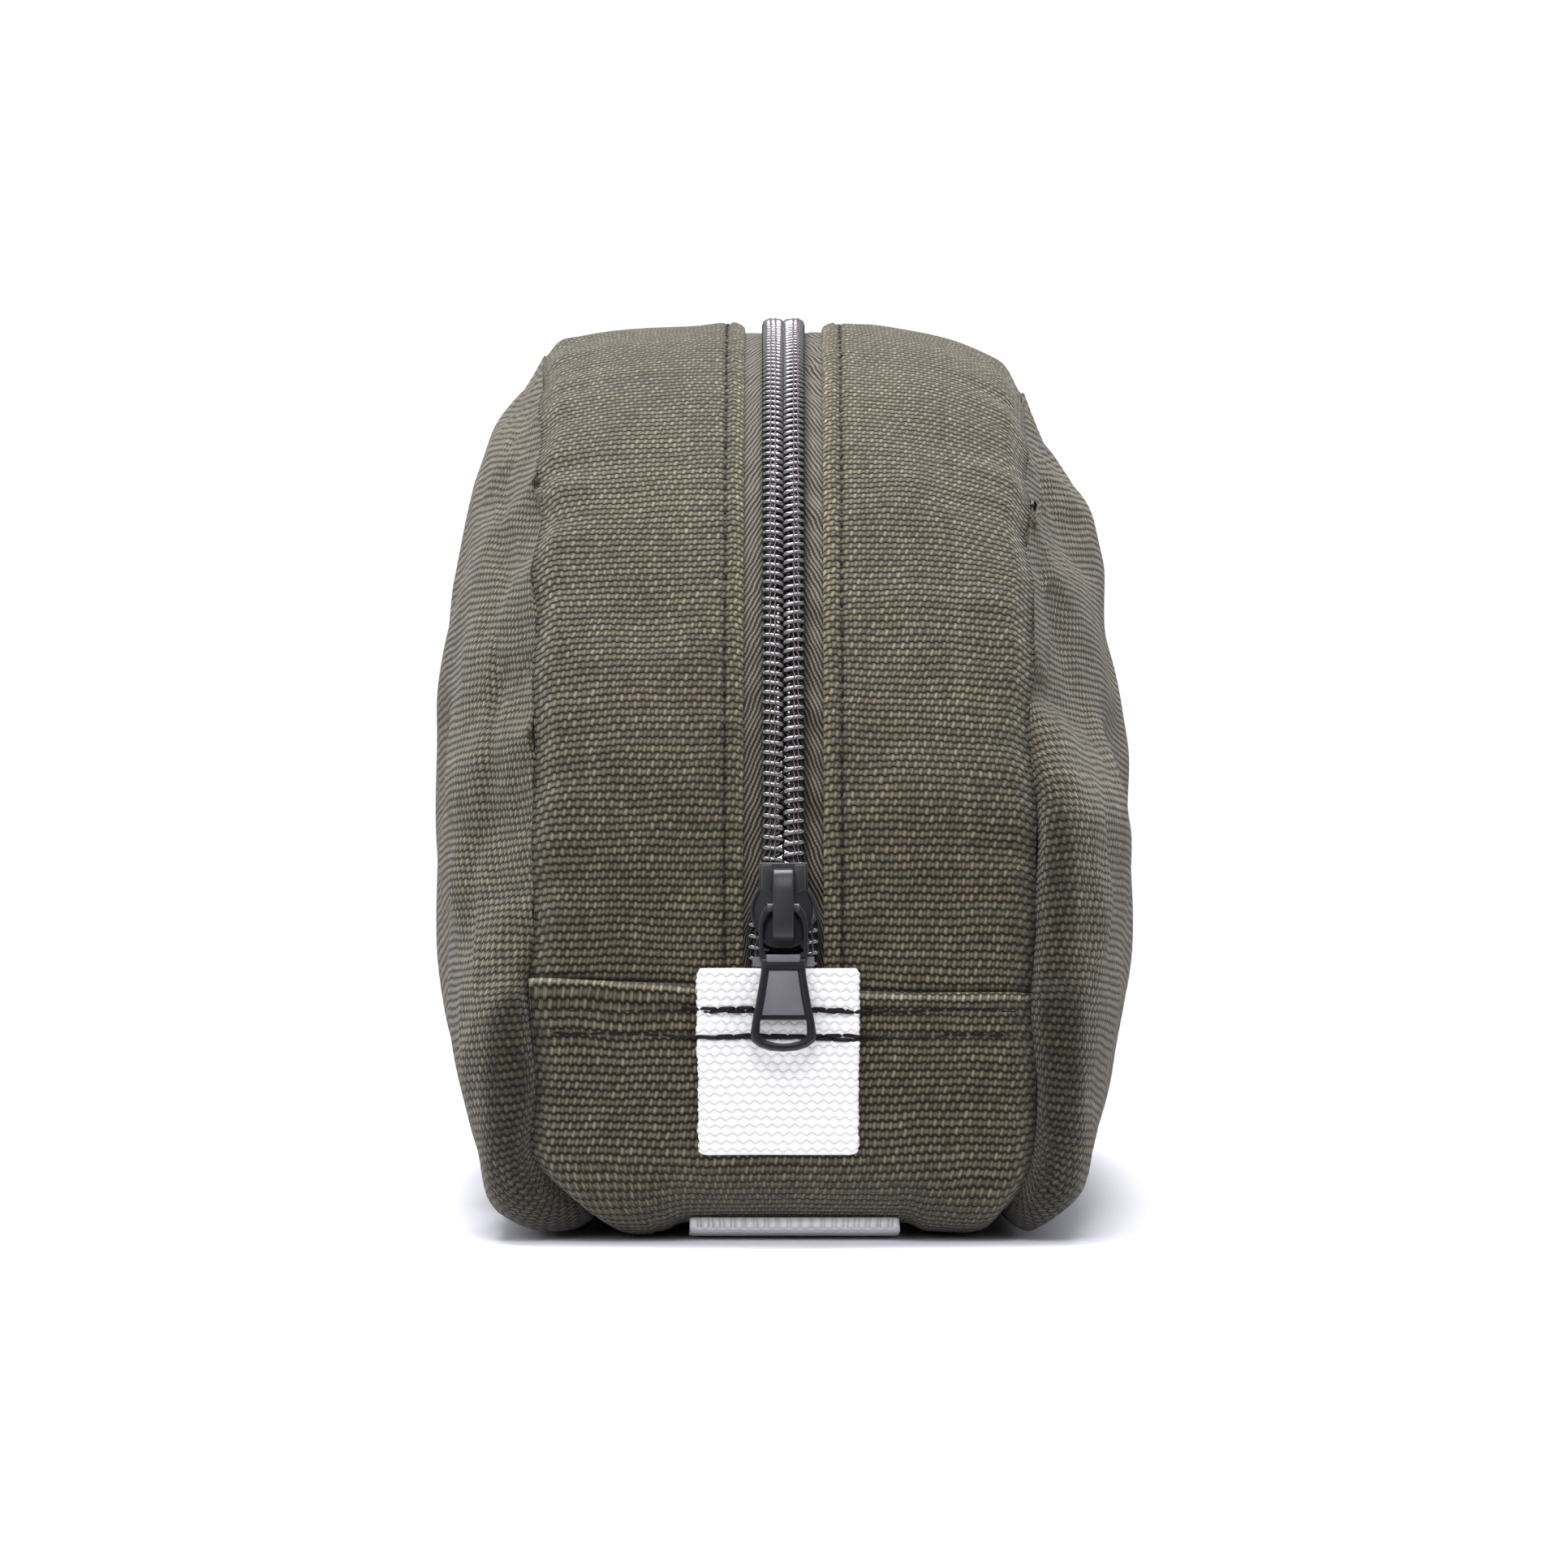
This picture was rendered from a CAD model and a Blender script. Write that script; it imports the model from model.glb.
# An arch-shaped pouch of olive canvas, zipped over the top, with a webbing grip tab at each end.
# It stands on its flat bottom near z = 0. Its width lies along x with the zip in the middle, its
# front faces -y, and its side outline lies in the y-z plane. Sizes are in mm until a mesh is made.
import math
from math import pi
import bpy
import bmesh
import numpy as np
from mathutils import Matrix, Vector


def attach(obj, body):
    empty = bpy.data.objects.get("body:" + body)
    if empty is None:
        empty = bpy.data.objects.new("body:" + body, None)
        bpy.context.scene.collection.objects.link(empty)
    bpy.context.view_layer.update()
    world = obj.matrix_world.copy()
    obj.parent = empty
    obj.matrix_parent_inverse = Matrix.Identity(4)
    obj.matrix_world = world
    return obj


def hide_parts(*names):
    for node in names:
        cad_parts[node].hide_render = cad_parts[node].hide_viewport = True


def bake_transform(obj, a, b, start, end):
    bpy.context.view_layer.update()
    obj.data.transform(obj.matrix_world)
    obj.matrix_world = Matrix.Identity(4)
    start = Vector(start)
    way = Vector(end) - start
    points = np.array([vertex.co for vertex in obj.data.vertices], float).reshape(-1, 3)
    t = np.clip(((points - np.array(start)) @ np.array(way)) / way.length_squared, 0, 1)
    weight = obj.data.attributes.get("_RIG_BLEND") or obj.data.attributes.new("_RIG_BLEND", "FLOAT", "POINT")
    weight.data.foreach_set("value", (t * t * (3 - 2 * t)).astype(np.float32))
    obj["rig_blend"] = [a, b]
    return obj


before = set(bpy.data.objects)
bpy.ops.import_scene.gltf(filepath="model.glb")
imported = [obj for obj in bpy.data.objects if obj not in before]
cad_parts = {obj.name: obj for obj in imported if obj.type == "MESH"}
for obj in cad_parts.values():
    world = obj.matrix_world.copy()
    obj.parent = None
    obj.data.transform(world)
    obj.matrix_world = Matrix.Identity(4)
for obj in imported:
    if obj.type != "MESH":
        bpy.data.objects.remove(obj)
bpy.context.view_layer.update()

scene = bpy.context.scene
MILLI = 0.001                        # metres in a millimetre

# ------------------------------------------------------------------ side outline
ARCH_R = 114.9
ARCH_Z = 24.0                        # height of the arch's centre
CORNER_R = 20.4
CORNER_POWER = 3.0                   # above 2 the lower corners are squarer than a quarter circle
FLAT_HALF = ARCH_R - CORNER_R
BOTTOM_Z = ARCH_Z - CORNER_R


def corner_table():
    """Lengths up a lower corner, and there the offsets across and down and the directions."""
    angle = np.linspace(0, pi / 2, 400)
    across = np.sin(angle) ** (2 / CORNER_POWER)
    down = np.cos(angle) ** (2 / CORNER_POWER)
    steps = np.hypot(np.diff(across), np.diff(down))
    lengths = np.concatenate([[0], np.cumsum(steps)]) * CORNER_R
    normals = np.stack([across ** (CORNER_POWER - 1), down ** (CORNER_POWER - 1)])
    normals /= np.linalg.norm(normals, axis=0)
    return lengths, (across * CORNER_R, down * CORNER_R, *normals)


CORNER_LENGTHS, CORNER_VALUES = corner_table()
CORNER_RUN = float(CORNER_LENGTHS[-1])
ARCH_RUN = ARCH_R * pi
TOTAL = 2 * FLAT_HALF + 2 * CORNER_RUN + ARCH_RUN
ARCH_START = FLAT_HALF + CORNER_RUN  # where the arch begins, at the front
ARCH_END = ARCH_START + ARCH_RUN
REAR_FLAT = ARCH_START + ARCH_RUN + CORNER_RUN


def corner(length):
    return [np.interp(length, CORNER_LENGTHS, values) for values in CORNER_VALUES]


def outline(along):
    """Place (y, z) and outward direction (y, z) at lengths along the side outline.

    Lengths start at the middle of the bottom and run to the front, over the top and back.
    """
    along = np.mod(np.asarray(along, float), TOTAL)
    y, z, norm_y, norm_z = (np.zeros_like(along) for _ in range(4))
    part = along < FLAT_HALF
    y[part], z[part], norm_y[part], norm_z[part] = -along[part], BOTTOM_Z, 0, -1
    part = (along >= FLAT_HALF) & (along < ARCH_START)
    across, down, out_y, out_z = corner(along[part] - FLAT_HALF)
    y[part], z[part] = -FLAT_HALF - across, ARCH_Z - down
    norm_y[part], norm_z[part] = -out_y, -out_z
    part = (along >= ARCH_START) & (along < ARCH_END)
    angle = (along[part] - ARCH_START) / ARCH_R
    norm_y[part], norm_z[part] = -np.cos(angle), np.sin(angle)
    y[part], z[part] = ARCH_R * norm_y[part], ARCH_Z + ARCH_R * norm_z[part]
    part = (along >= ARCH_END) & (along < REAR_FLAT)
    across, down, out_y, out_z = corner(CORNER_RUN - (along[part] - ARCH_START - ARCH_RUN))
    y[part], z[part] = FLAT_HALF + across, ARCH_Z - down
    norm_y[part], norm_z[part] = out_y, -out_z
    part = along >= REAR_FLAT
    y[part] = FLAT_HALF - (along[part] - ARCH_START - ARCH_RUN - CORNER_RUN)
    z[part], norm_y[part], norm_z[part] = BOTTOM_Z, 0, -1
    return y, z, norm_y, norm_z


def place(along, x, out):
    """Points at a length along the outline, a width x and a distance outward, (n, 3) in mm."""
    y, z, norm_y, norm_z = outline(along)
    return np.stack([np.broadcast_to(x, y.shape), y + norm_y * out, z + norm_z * out], -1)


def arch_along(z, radius=ARCH_R):
    """Length along the outline of a height on the front of the arch. At the rear it is TOTAL - it."""
    return ARCH_START + ARCH_R * np.arcsin((z - ARCH_Z) / radius)


def wrapped(along):
    """Moves lengths below 0 to the end of the outline."""
    return np.where(along < 0, along + TOTAL, along)


def from_middle(along):
    """Length from the middle of the bottom, the same to the front and to the rear."""
    return np.abs(np.where(along > TOTAL / 2, along - TOTAL, along))


# ------------------------------------------------------------------ profiles and noise
def smooth(value):
    value = np.clip(value, 0, 1)
    return value * value * (3 - 2 * value)


def quarter(value):
    """Rises from 0 to 1 as a quarter circle, steep at 0."""
    return np.sqrt(np.clip(1 - np.clip(1 - value, 0, 1) ** 2, 0, 1))


def bell(value, width):
    return np.exp(-(value / width) ** 2)


def crowded(count, power):
    """Stations from -1 to 1, closer together at the ends."""
    even = np.linspace(-1, 1, count)
    return np.sign(even) * (1 - (1 - np.abs(even)) ** power)


class Waves:
    """Band-limited smooth noise, the same every run."""

    def __init__(self, seed, wavelength, count=14, dims=1):
        draw = np.random.RandomState(seed)
        rate = 2 * pi / (wavelength * np.exp(draw.uniform(-0.5, 0.5, count)))
        if dims == 1:
            self.rates = rate[:, None]
        else:
            heading = draw.normal(size=(count, dims))
            heading /= np.linalg.norm(heading, axis=1)[:, None]
            self.rates = heading * rate[:, None]
        self.phases = draw.uniform(0, 2 * pi, count)
        self.amplitude = 1 / math.sqrt(count) * 1.2

    def __call__(self, *places):
        places = np.broadcast_arrays(*[np.asarray(axis, float) for axis in places])
        total = np.zeros(places[0].shape)
        for rates, phase in zip(self.rates, self.phases):
            angle = phase
            for rate, axis in zip(rates, places):
                angle = angle + rate * axis
            total += np.sin(angle)
        return total * self.amplitude


# ------------------------------------------------------------------ seams shared by the pieces
SIDES = ((-1, "left", "left_wall"), (1, "right", "right_wall"))
ENDS = ((-1, "front"), (1, "rear"))
SEAM_HALF = 38.3                     # half width of the band at its seams
WEAVE_HALF = 38.6                    # half width of the band's weave, measured over the cloth
LAP_Z = 38.8                         # upper edge of the lower gusset, lapped over the zip gussets
LAP_ALONG = arch_along(LAP_Z)
ROWS_Z = (35.7, 31.9)                # the two rows of stitching across the lap
ROW_DEPTHS = [(LAP_Z - row) / math.cos(math.asin((35 - ARCH_Z) / ARCH_R)) for row in ROWS_Z]
ZIP_FRONT = arch_along(31.0)         # ends of the zip gussets and tapes
ZIP_REAR = TOTAL - ZIP_FRONT


def seam_half(along, side):
    """Half width of the band at its seam: it draws in where the band turns under the pouch."""
    y, z, _, _ = outline(along)
    low = np.clip((14.5 - z) / 11.0, 0, 1) ** 2
    inset = np.where(y < 0, 10.5 if side < 0 else 5.0, 6.0)
    return SEAM_HALF - inset * low + Waves(11 + side, 34)(np.asarray(along, float)) * 0.35


def topness(along):
    """0 on the upright ends, 1 over the top."""
    return smooth((outline(along)[1] - 60) / 70.0)


def seam_turn(to_seam):
    """1 at the seam, falling to 0 a little way in."""
    return (1 - smooth(to_seam / 4.4)) ** 2


def tuck(along, x, side):
    """How far the zip gusset falls away from its crown towards the side seam."""
    top = topness(along) ** 2
    half = seam_half(along, side)
    fall = (1.3 + 2.4 * top) if side < 0 else (1.8 + 6.4 * top)
    turn = (2.9 - 1.2 * top) if side < 0 else (2.9 + 0.3 * top)
    share = np.clip(np.abs(x) / half, 0, 1.2)
    to_seam = np.maximum(half - np.abs(x), 0)
    return fall * share ** (4.5 - 1.5 * top) + turn * seam_turn(to_seam)


def lap_rise(x):
    """Height of the lap's fold above LAP_Z: it is not quite level."""
    return np.interp(x, [-40, -18, -13, 0, 13, 23, 38], [2.1, 0.65, 0.3, -0.3, -0.65, -0.5, -0.35])


# ------------------------------------------------------------------ mesh helpers
def make_object(name, verts, faces, uv=None):
    mesh = bpy.data.meshes.new(name)
    mesh.from_pydata([tuple(vert) for vert in np.asarray(verts, float) * MILLI], [], faces)
    mesh.update()
    if uv is not None:
        layer = mesh.uv_layers.new(name="weave")
        loops = np.zeros(len(mesh.loops), np.int32)
        mesh.loops.foreach_get("vertex_index", loops)
        layer.data.foreach_set("uv", np.asarray(uv, float)[loops].astype(np.float32).ravel())
    mesh.shade_smooth()
    return link_object(name, mesh)


def link_object(name, data):
    obj = bpy.data.objects.new(name, data)
    scene.collection.objects.link(obj)
    return obj


def mesh_coords(mesh):
    """Vertex places in mm."""
    flat = np.zeros(len(mesh.vertices) * 3, np.float32)
    mesh.vertices.foreach_get("co", flat)
    return flat.reshape(-1, 3).astype(float) * 1000


def set_coords(obj, places):
    obj.data.vertices.foreach_set("co", np.asarray(places * MILLI, np.float32).ravel())
    obj.data.update()


def baked(obj):
    """Applies the object's modifiers."""
    bpy.context.view_layer.update()
    graph = bpy.context.evaluated_depsgraph_get()
    mesh = bpy.data.meshes.new_from_object(
        obj.evaluated_get(graph), preserve_all_data_layers=True, depsgraph=graph)
    old = obj.data
    obj.modifiers.clear()
    obj.data = mesh
    bpy.data.meshes.remove(old)


def thicken(obj, thickness, offset=-1):
    solid = obj.modifiers.new("thick", "SOLIDIFY")
    solid.thickness = thickness * MILLI
    solid.offset = offset
    baked(obj)


def fix_normals(obj):
    edit = bmesh.new()
    edit.from_mesh(obj.data)
    bmesh.ops.recalc_face_normals(edit, faces=edit.faces)
    edit.to_mesh(obj.data)
    edit.free()
    obj.data.update()


def add_wear(obj, values):
    """Paler above 0 and darker below 0, read by the cloth materials."""
    layer = obj.data.attributes.new("wear", "FLOAT", "POINT")
    layer.data.foreach_set("value", values.astype(np.float32).ravel())


def grid_faces(rows, columns, flip=False):
    faces = []
    for i in range(rows - 1):
        for j in range(columns - 1):
            first, after = i * columns + j, (i + 1) * columns + j
            face = (first, after, after + 1, first + 1)
            faces.append(face[::-1] if flip else face)
    return faces


def sweep(name, along, section, wear=None):
    """Closed strip swept along the outline.

    section(along) gives widths x and offsets outward, each (stations, columns), and the length
    across the cloth of each column. wear(along, x, out) gives the wear at each vertex.
    """
    x, out, across = section(along)
    stations, columns = x.shape
    lengths = np.repeat(along[:, None], columns, 1)
    verts = place(lengths.ravel(), x.ravel(), out.ravel())
    across = np.repeat(np.asarray(across)[None, :], stations, 0)
    faces = []
    for i in range(stations - 1):
        here, ahead = i * columns, (i + 1) * columns
        for j in range(columns):
            beside = (j + 1) % columns
            faces.append((here + j, here + beside, ahead + beside, ahead + j))
    faces.append(tuple(range(columns))[::-1])
    faces.append(tuple((stations - 1) * columns + j for j in range(columns)))
    obj = make_object(name, verts, faces, np.stack([across.ravel(), lengths.ravel()], -1))
    if wear is not None:
        add_wear(obj, np.clip(wear(along, x, out), -0.85, 1.2))
    fix_normals(obj)
    return obj


def continuous_weave(obj):
    """Lets the weave run on without a break through the middle of the bottom."""
    layer = obj.data.uv_layers["weave"].data
    flat = np.zeros(len(layer) * 2, np.float32)
    layer.foreach_get("uv", flat)
    flat = flat.reshape(-1, 2)
    flat[:, 1] = np.where(flat[:, 1] > TOTAL / 2, flat[:, 1] - TOTAL, flat[:, 1])
    layer.foreach_set("uv", flat.ravel())


def tube_object(name, tubes, ring=6):
    """Round tubes with closed ends, each given as its path and its radius in mm."""
    verts, faces = [], []
    for path, radius in tubes:
        path = np.asarray(path, float)
        count = len(path)
        tangent = np.gradient(path, axis=0)
        tangent /= np.linalg.norm(tangent, axis=1)[:, None] + 1e-12
        upright = abs(tangent[:, 2]).mean() > 0.8
        reference = np.array([1.0, 0.0, 0.0] if upright else [0.0, 0.0, 1.0])
        sideways = np.cross(tangent, reference)
        sideways /= np.linalg.norm(sideways, axis=1)[:, None] + 1e-12
        upward = np.cross(sideways, tangent)
        radii = np.broadcast_to(radius, count)
        base = len(verts)
        for i in range(count):
            for j in range(ring):
                angle = 2 * pi * j / ring
                verts.append(path[i] + sideways[i] * math.cos(angle) * radii[i]
                             + upward[i] * math.sin(angle) * radii[i])
        for i in range(count - 1):
            here, ahead = base + i * ring, base + (i + 1) * ring
            for j in range(ring):
                beside = (j + 1) % ring
                faces.append((here + j, here + beside, ahead + beside, ahead + j))
        faces.append(tuple(base + j for j in range(ring))[::-1])
        faces.append(tuple(base + (count - 1) * ring + j for j in range(ring)))
    obj = make_object(name, verts, faces)
    fix_normals(obj)
    return obj


def finish(obj, look, replaces=(), body=None, wall=None):
    """Gives a piece its look, a (material, slot) pair, and says what it replaces and follows."""
    material, slot = look
    obj.data.materials.clear()
    obj.data.materials.append(material)
    if replaces:
        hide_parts(*replaces)
    if body:
        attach(obj, body)
    if wall:
        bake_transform(obj, "base", wall, start=(0, 0, 0.056), end=(0, 0, 0.140))
        share = smooth((mesh_coords(obj.data)[:, 2] - 58.0) / 84.0)
        layer = obj.data.attributes["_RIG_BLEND"]
        layer.data.foreach_set("value", share.astype(np.float32))


# ------------------------------------------------------------------ shader graphs
def math_step(operation, swapped=False):
    def step(self, *others):
        values = (*others, self) if swapped else (self, *others)
        return self.graph.math(operation, *values)
    return step


class Value:
    """A node's output that takes arithmetic: each step becomes a Math node."""

    def __init__(self, graph, socket):
        self.graph, self.socket = graph, socket

    __add__ = math_step("ADD")
    __radd__ = math_step("ADD", swapped=True)
    __sub__ = math_step("SUBTRACT")
    __mul__ = math_step("MULTIPLY")
    __truediv__ = math_step("DIVIDE")
    __pow__ = math_step("POWER")
    __abs__ = math_step("ABSOLUTE")
    floor = math_step("FLOOR")
    sin = math_step("SINE")
    cos = math_step("COSINE")
    sqrt = math_step("SQRT")
    at_least = math_step("MAXIMUM")


class Graph:
    """The node tree of a material or world."""

    INPUTS = {"color": "Base Color", "rough": "Roughness", "metal": "Metallic",
              "normal": "Normal", "sheen": "Sheen Weight", "sheen_rough": "Sheen Roughness",
              "sheen_tint": "Sheen Tint", "specular": "Specular IOR Level", "ior": "IOR"}

    def __init__(self, owner, output="ShaderNodeOutputMaterial"):
        owner.use_nodes = True
        self.owner = owner
        self.tree = owner.node_tree
        self.tree.nodes.clear()
        self.output = self.tree.nodes.new(output)

    def link(self, value, socket):
        if isinstance(value, Value):
            self.tree.links.new(value.socket, socket)
        else:
            socket.default_value = (*value, 1) if isinstance(value, tuple) else value

    def add(self, kind, inputs=(), output=0, **settings):
        """Adds a node with settings and inputs, by name or number, and gives one output."""
        node = self.tree.nodes.new(kind)
        for key, setting in settings.items():
            setattr(node, key, setting)
        for key, value in dict(inputs).items():
            self.link(value, node.inputs[key])
        return Value(self, node.outputs[output])

    def math(self, operation, *values, clamp=False):
        inputs = dict(enumerate(values))
        return self.add("ShaderNodeMath", inputs, operation=operation, use_clamp=clamp)

    def separate(self, vector):
        first = self.add("ShaderNodeSeparateXYZ", {0: vector})
        return [Value(self, socket) for socket in first.socket.node.outputs]

    def weave(self):
        """The weave's vector, and its lengths in mm across and along the cloth."""
        vector = self.add("ShaderNodeUVMap", uv_map="weave")
        across, along, _ = self.separate(vector)
        return vector, across, along

    def object_place(self):
        return self.add("ShaderNodeTexCoord", output="Object")

    def combine(self, x, y, z):
        return self.add("ShaderNodeCombineXYZ", {0: x, 1: y, 2: z})

    def noise(self, vector, scale, detail=2.0, rough=0.5):
        inputs = {"Vector": vector, "Scale": scale, "Detail": detail, "Roughness": rough}
        return self.add("ShaderNodeTexNoise", inputs, output="Fac")

    def white(self, x, y, z):
        """One random value for each whole-numbered place."""
        vector = self.combine(x, y, z)
        return self.add("ShaderNodeTexWhiteNoise", {"Vector": vector}, output="Value",
                        noise_dimensions="3D")

    def ramp(self, value, stops):
        """Colours from (place, colour) stops."""
        color = self.add("ShaderNodeValToRGB", {0: value})
        elements = color.socket.node.color_ramp.elements
        while len(elements) < len(stops):
            elements.new(0.5)
        for element, (position, stop) in zip(elements, stops):
            element.position = position
            element.color = (*stop, 1)
        return color

    def mix(self, share, first, second, mode="MIX"):
        return self.add("ShaderNodeMix", {0: share, 6: first, 7: second}, output=2,
                        data_type="RGBA", blend_type=mode)

    def shaded(self, color, shade):
        """The colour times a grey."""
        return self.mix(1.0, color, self.combine(shade, shade, shade), "MULTIPLY")

    def worn(self, shade):
        """Paler along folded edges, darker in the stitched grooves."""
        wear = self.add("ShaderNodeAttribute", output="Fac", attribute_name="wear")
        return shade * (1.0 + wear).at_least(0.1)

    def bump(self, height, depth):
        inputs = {"Strength": 1.0, "Distance": depth * MILLI, "Height": height}
        return self.add("ShaderNodeBump", inputs)

    def surface(self, **inputs):
        named = {self.INPUTS[key]: value for key, value in inputs.items()}
        self.link(self.add("ShaderNodeBsdfPrincipled", named), self.output.inputs[0])
        return self.owner


def new_graph(name):
    return Graph(bpy.data.materials.new(name))


# ------------------------------------------------------------------ materials
def bead_rows(column, row, zigzag, row_power, base, bead_power):
    """Height of rows of plump beads, each row set half a bead along from the next, and row ids.

    zigzag bends the gap between rows, the powers flatten rows and beads, and base is the height
    of a row between its beads.
    """
    bend = (column * pi).cos() * (row * pi).cos()
    bent = row + bend * zigzag
    row_id = bent.floor()
    within = bent - row_id
    bead = (column * pi).cos() * (row_id * pi).cos()
    bead = (0.5 + bead * 0.5).at_least(0.0001)
    rise = (within * pi).sin().at_least(0.0001)
    return rise ** row_power * (base + bead ** bead_power * (1 - base)), row_id


def canvas_material():
    """Heavy plain weave: pale warp yarns show as upright beads, staggered row by row."""
    graph = new_graph("olive_canvas_cloth")
    vector, across, along = graph.weave()
    warp_pitch, weft_pitch = 0.653, 1.227
    # yarns wander, first closely and then slowly
    slow = graph.noise(vector, 0.045)
    near = graph.noise(vector, 0.16)
    near_weft = graph.noise(graph.combine(along, across, 3.7), 0.13)
    column = across / warp_pitch + ((near - 0.5) * 1.5 + (slow - 0.5) * 4.0)
    slow_weft = graph.noise(vector, 0.03)
    row = along / weft_pitch + ((near_weft - 0.5) * 0.75 + (slow_weft - 0.5) * 2.2)
    column = column + (row * (2 * pi)).sin() * 0.10
    height, row_id = bead_rows(column, row, zigzag=0.085, row_power=0.60, base=0.72,
                               bead_power=0.75)
    odd_row = row_id - (row_id * 0.5).floor() * 2.0
    warp_id = ((column - odd_row) * 0.5 + 0.5).floor()
    gap = abs((column * pi).cos()).at_least(0.0001)
    height = height * gap ** 0.22
    warp_tone = graph.white(warp_id, 11.0, odd_row)
    weft_tone = graph.white(row_id, 3.0, 7.0)
    bead_tone = graph.white((column + 0.5).floor(), row_id, 5.0)
    slub = graph.noise(vector, 0.42, detail=3.0, rough=0.65)
    fibre = graph.noise(vector, 5.0, detail=4.0, rough=0.7)
    cloud = graph.noise(vector, 0.030, detail=3.0, rough=0.55)
    color = graph.ramp(height, [
        (0.24, (0.007, 0.005, 0.003)), (0.44, (0.031, 0.026, 0.016)),
        (0.66, (0.089, 0.078, 0.056)), (0.94, (0.166, 0.147, 0.113))])
    shade = 0.84 + warp_tone * 0.22
    # tone, its least shade and its spread
    for tone, least, spread in ((weft_tone, 0.90, 0.20), (bead_tone, 0.74, 0.52),
                                (slub, 0.66, 0.68), (fibre, 0.70, 0.60), (cloud, 0.76, 0.48)):
        shade = shade * (least + tone * spread)
    color = graph.shaded(color, graph.worn(shade))
    # slow drift from greenish to reddish
    tint = graph.mix(graph.noise(vector, 0.035), (0.93, 1.0, 0.90), (1.08, 1.0, 0.93))
    color = graph.mix(1.0, color, tint, "MULTIPLY")
    relief = height + fibre * 0.08 + slub * 0.16
    return graph.surface(color=color, rough=0.92, normal=graph.bump(relief, depth=0.34),
                         sheen=0.28, sheen_rough=0.42, sheen_tint=(0.86, 0.83, 0.78),
                         specular=0.16)


def webbing_material():
    graph = new_graph("white_webbing_cloth")
    vector, across, along = graph.weave()
    wander = graph.noise(vector, 0.12) - 0.5
    column = across / 0.86 + wander * 0.8
    row = along / 1.22 + wander * 0.6
    height, _ = bead_rows(column, row, zigzag=0.18, row_power=0.5, base=0.55, bead_power=0.7)
    fibre = graph.noise(graph.combine(across * 3.0, along, 0.0), 2.4, detail=4.0, rough=0.7)
    soil = graph.noise(vector, 0.10, detail=3.0)
    color = graph.ramp(height, [(0.22, (0.68, 0.675, 0.68)), (0.55, (0.82, 0.815, 0.82)),
                                (1.0, (0.89, 0.885, 0.89))])
    color = graph.shaded(color, 0.95 + fibre * 0.08)
    color = graph.mix(soil * 0.05, color, (0.80, 0.79, 0.77))
    return graph.surface(color=color, rough=0.9,
                         normal=graph.bump(height + fibre * 0.10, depth=0.20),
                         sheen=0.15, sheen_rough=0.4, specular=0.2)


def tape_material():
    """Twill tape: fine steep ribs that mirror from one half of the zip to the other."""
    graph = new_graph("zip_tape_cloth")
    vector, across, along = graph.weave()
    wander = graph.noise(vector, 0.20) * 1.6
    slant = abs(across) / 0.70 + along / 1.75 + wander
    rib = 0.5 + (slant * (2 * pi)).sin() * 0.5
    cross = 0.5 + ((along - abs(across) * 0.5) * (2 * pi / 0.62)).sin() * 0.5
    height = rib * 0.74 + cross * rib * 0.26
    fibre = graph.noise(vector, 2.2, detail=3.0, rough=0.6)
    color = graph.ramp(height, [(0.08, (0.010, 0.008, 0.005)), (0.35, (0.050, 0.042, 0.027)),
                                (0.85, (0.172, 0.154, 0.118))])
    color = graph.shaded(color, graph.worn(0.60 + fibre * 0.80))
    return graph.surface(color=color, rough=0.70, normal=graph.bump(height, depth=0.22),
                         sheen=0.25, sheen_rough=0.35, specular=0.3)


def thread_material(name, color, rough):
    graph = new_graph(name)
    where = graph.object_place()
    tone = graph.noise(where, 900.0, detail=3.0, rough=0.7)
    twist = graph.noise(where, 2600.0, detail=2.0, rough=0.6)
    color = graph.shaded(color, 0.55 + tone * 0.9)
    return graph.surface(color=color, rough=rough, normal=graph.bump(twist, depth=0.06),
                         specular=0.12)


def metal_material(name, color, rough, metal):
    """Plated die casting: a fine satin grain, faint mottling and paler worn edges."""
    graph = new_graph(name)
    where = graph.object_place()
    grain = graph.noise(where, 5200.0, detail=3.0, rough=0.6)
    cloud = graph.noise(where, 260.0, detail=3.0, rough=0.6)
    pointed = graph.add("ShaderNodeNewGeometry", output="Pointiness")
    edge = graph.math("MULTIPLY", pointed - 0.515, 9.0, clamp=True)
    color = graph.shaded(color, 0.80 + cloud * 0.40)
    color = graph.mix(edge * 0.30, color, (0.30, 0.30, 0.33))
    return graph.surface(color=color, rough=(rough - 0.06) + cloud * 0.14, metal=metal,
                         normal=graph.bump(grain, depth=0.03), specular=0.24)


def coil_material():
    graph = new_graph("dark_nylon_coil")
    grain = graph.noise(graph.object_place(), 1800.0)
    color = graph.shaded((0.020, 0.016, 0.021), 0.7 + grain * 0.6)
    return graph.surface(color=color, rough=0.20, normal=graph.bump(grain, depth=0.008),
                         specular=1.0, ior=1.85)


def lining_material(name, dark, light):
    """Fine slanting ribs, 0.8 mm apart over the cloth."""
    graph = new_graph(name)
    vector, across, along = graph.weave()
    rib = 0.5 + ((across + along) * (2 * pi / 0.8)).sin() * 0.5
    fibre = graph.noise(vector, 1.6, detail=3.0, rough=0.6)
    color = graph.shaded(graph.ramp(rib, [(0.0, dark), (1.0, light)]), 0.7 + fibre * 0.6)
    return graph.surface(color=color, rough=0.85, normal=graph.bump(rib, depth=0.10),
                         sheen=0.2, specular=0.2)


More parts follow.
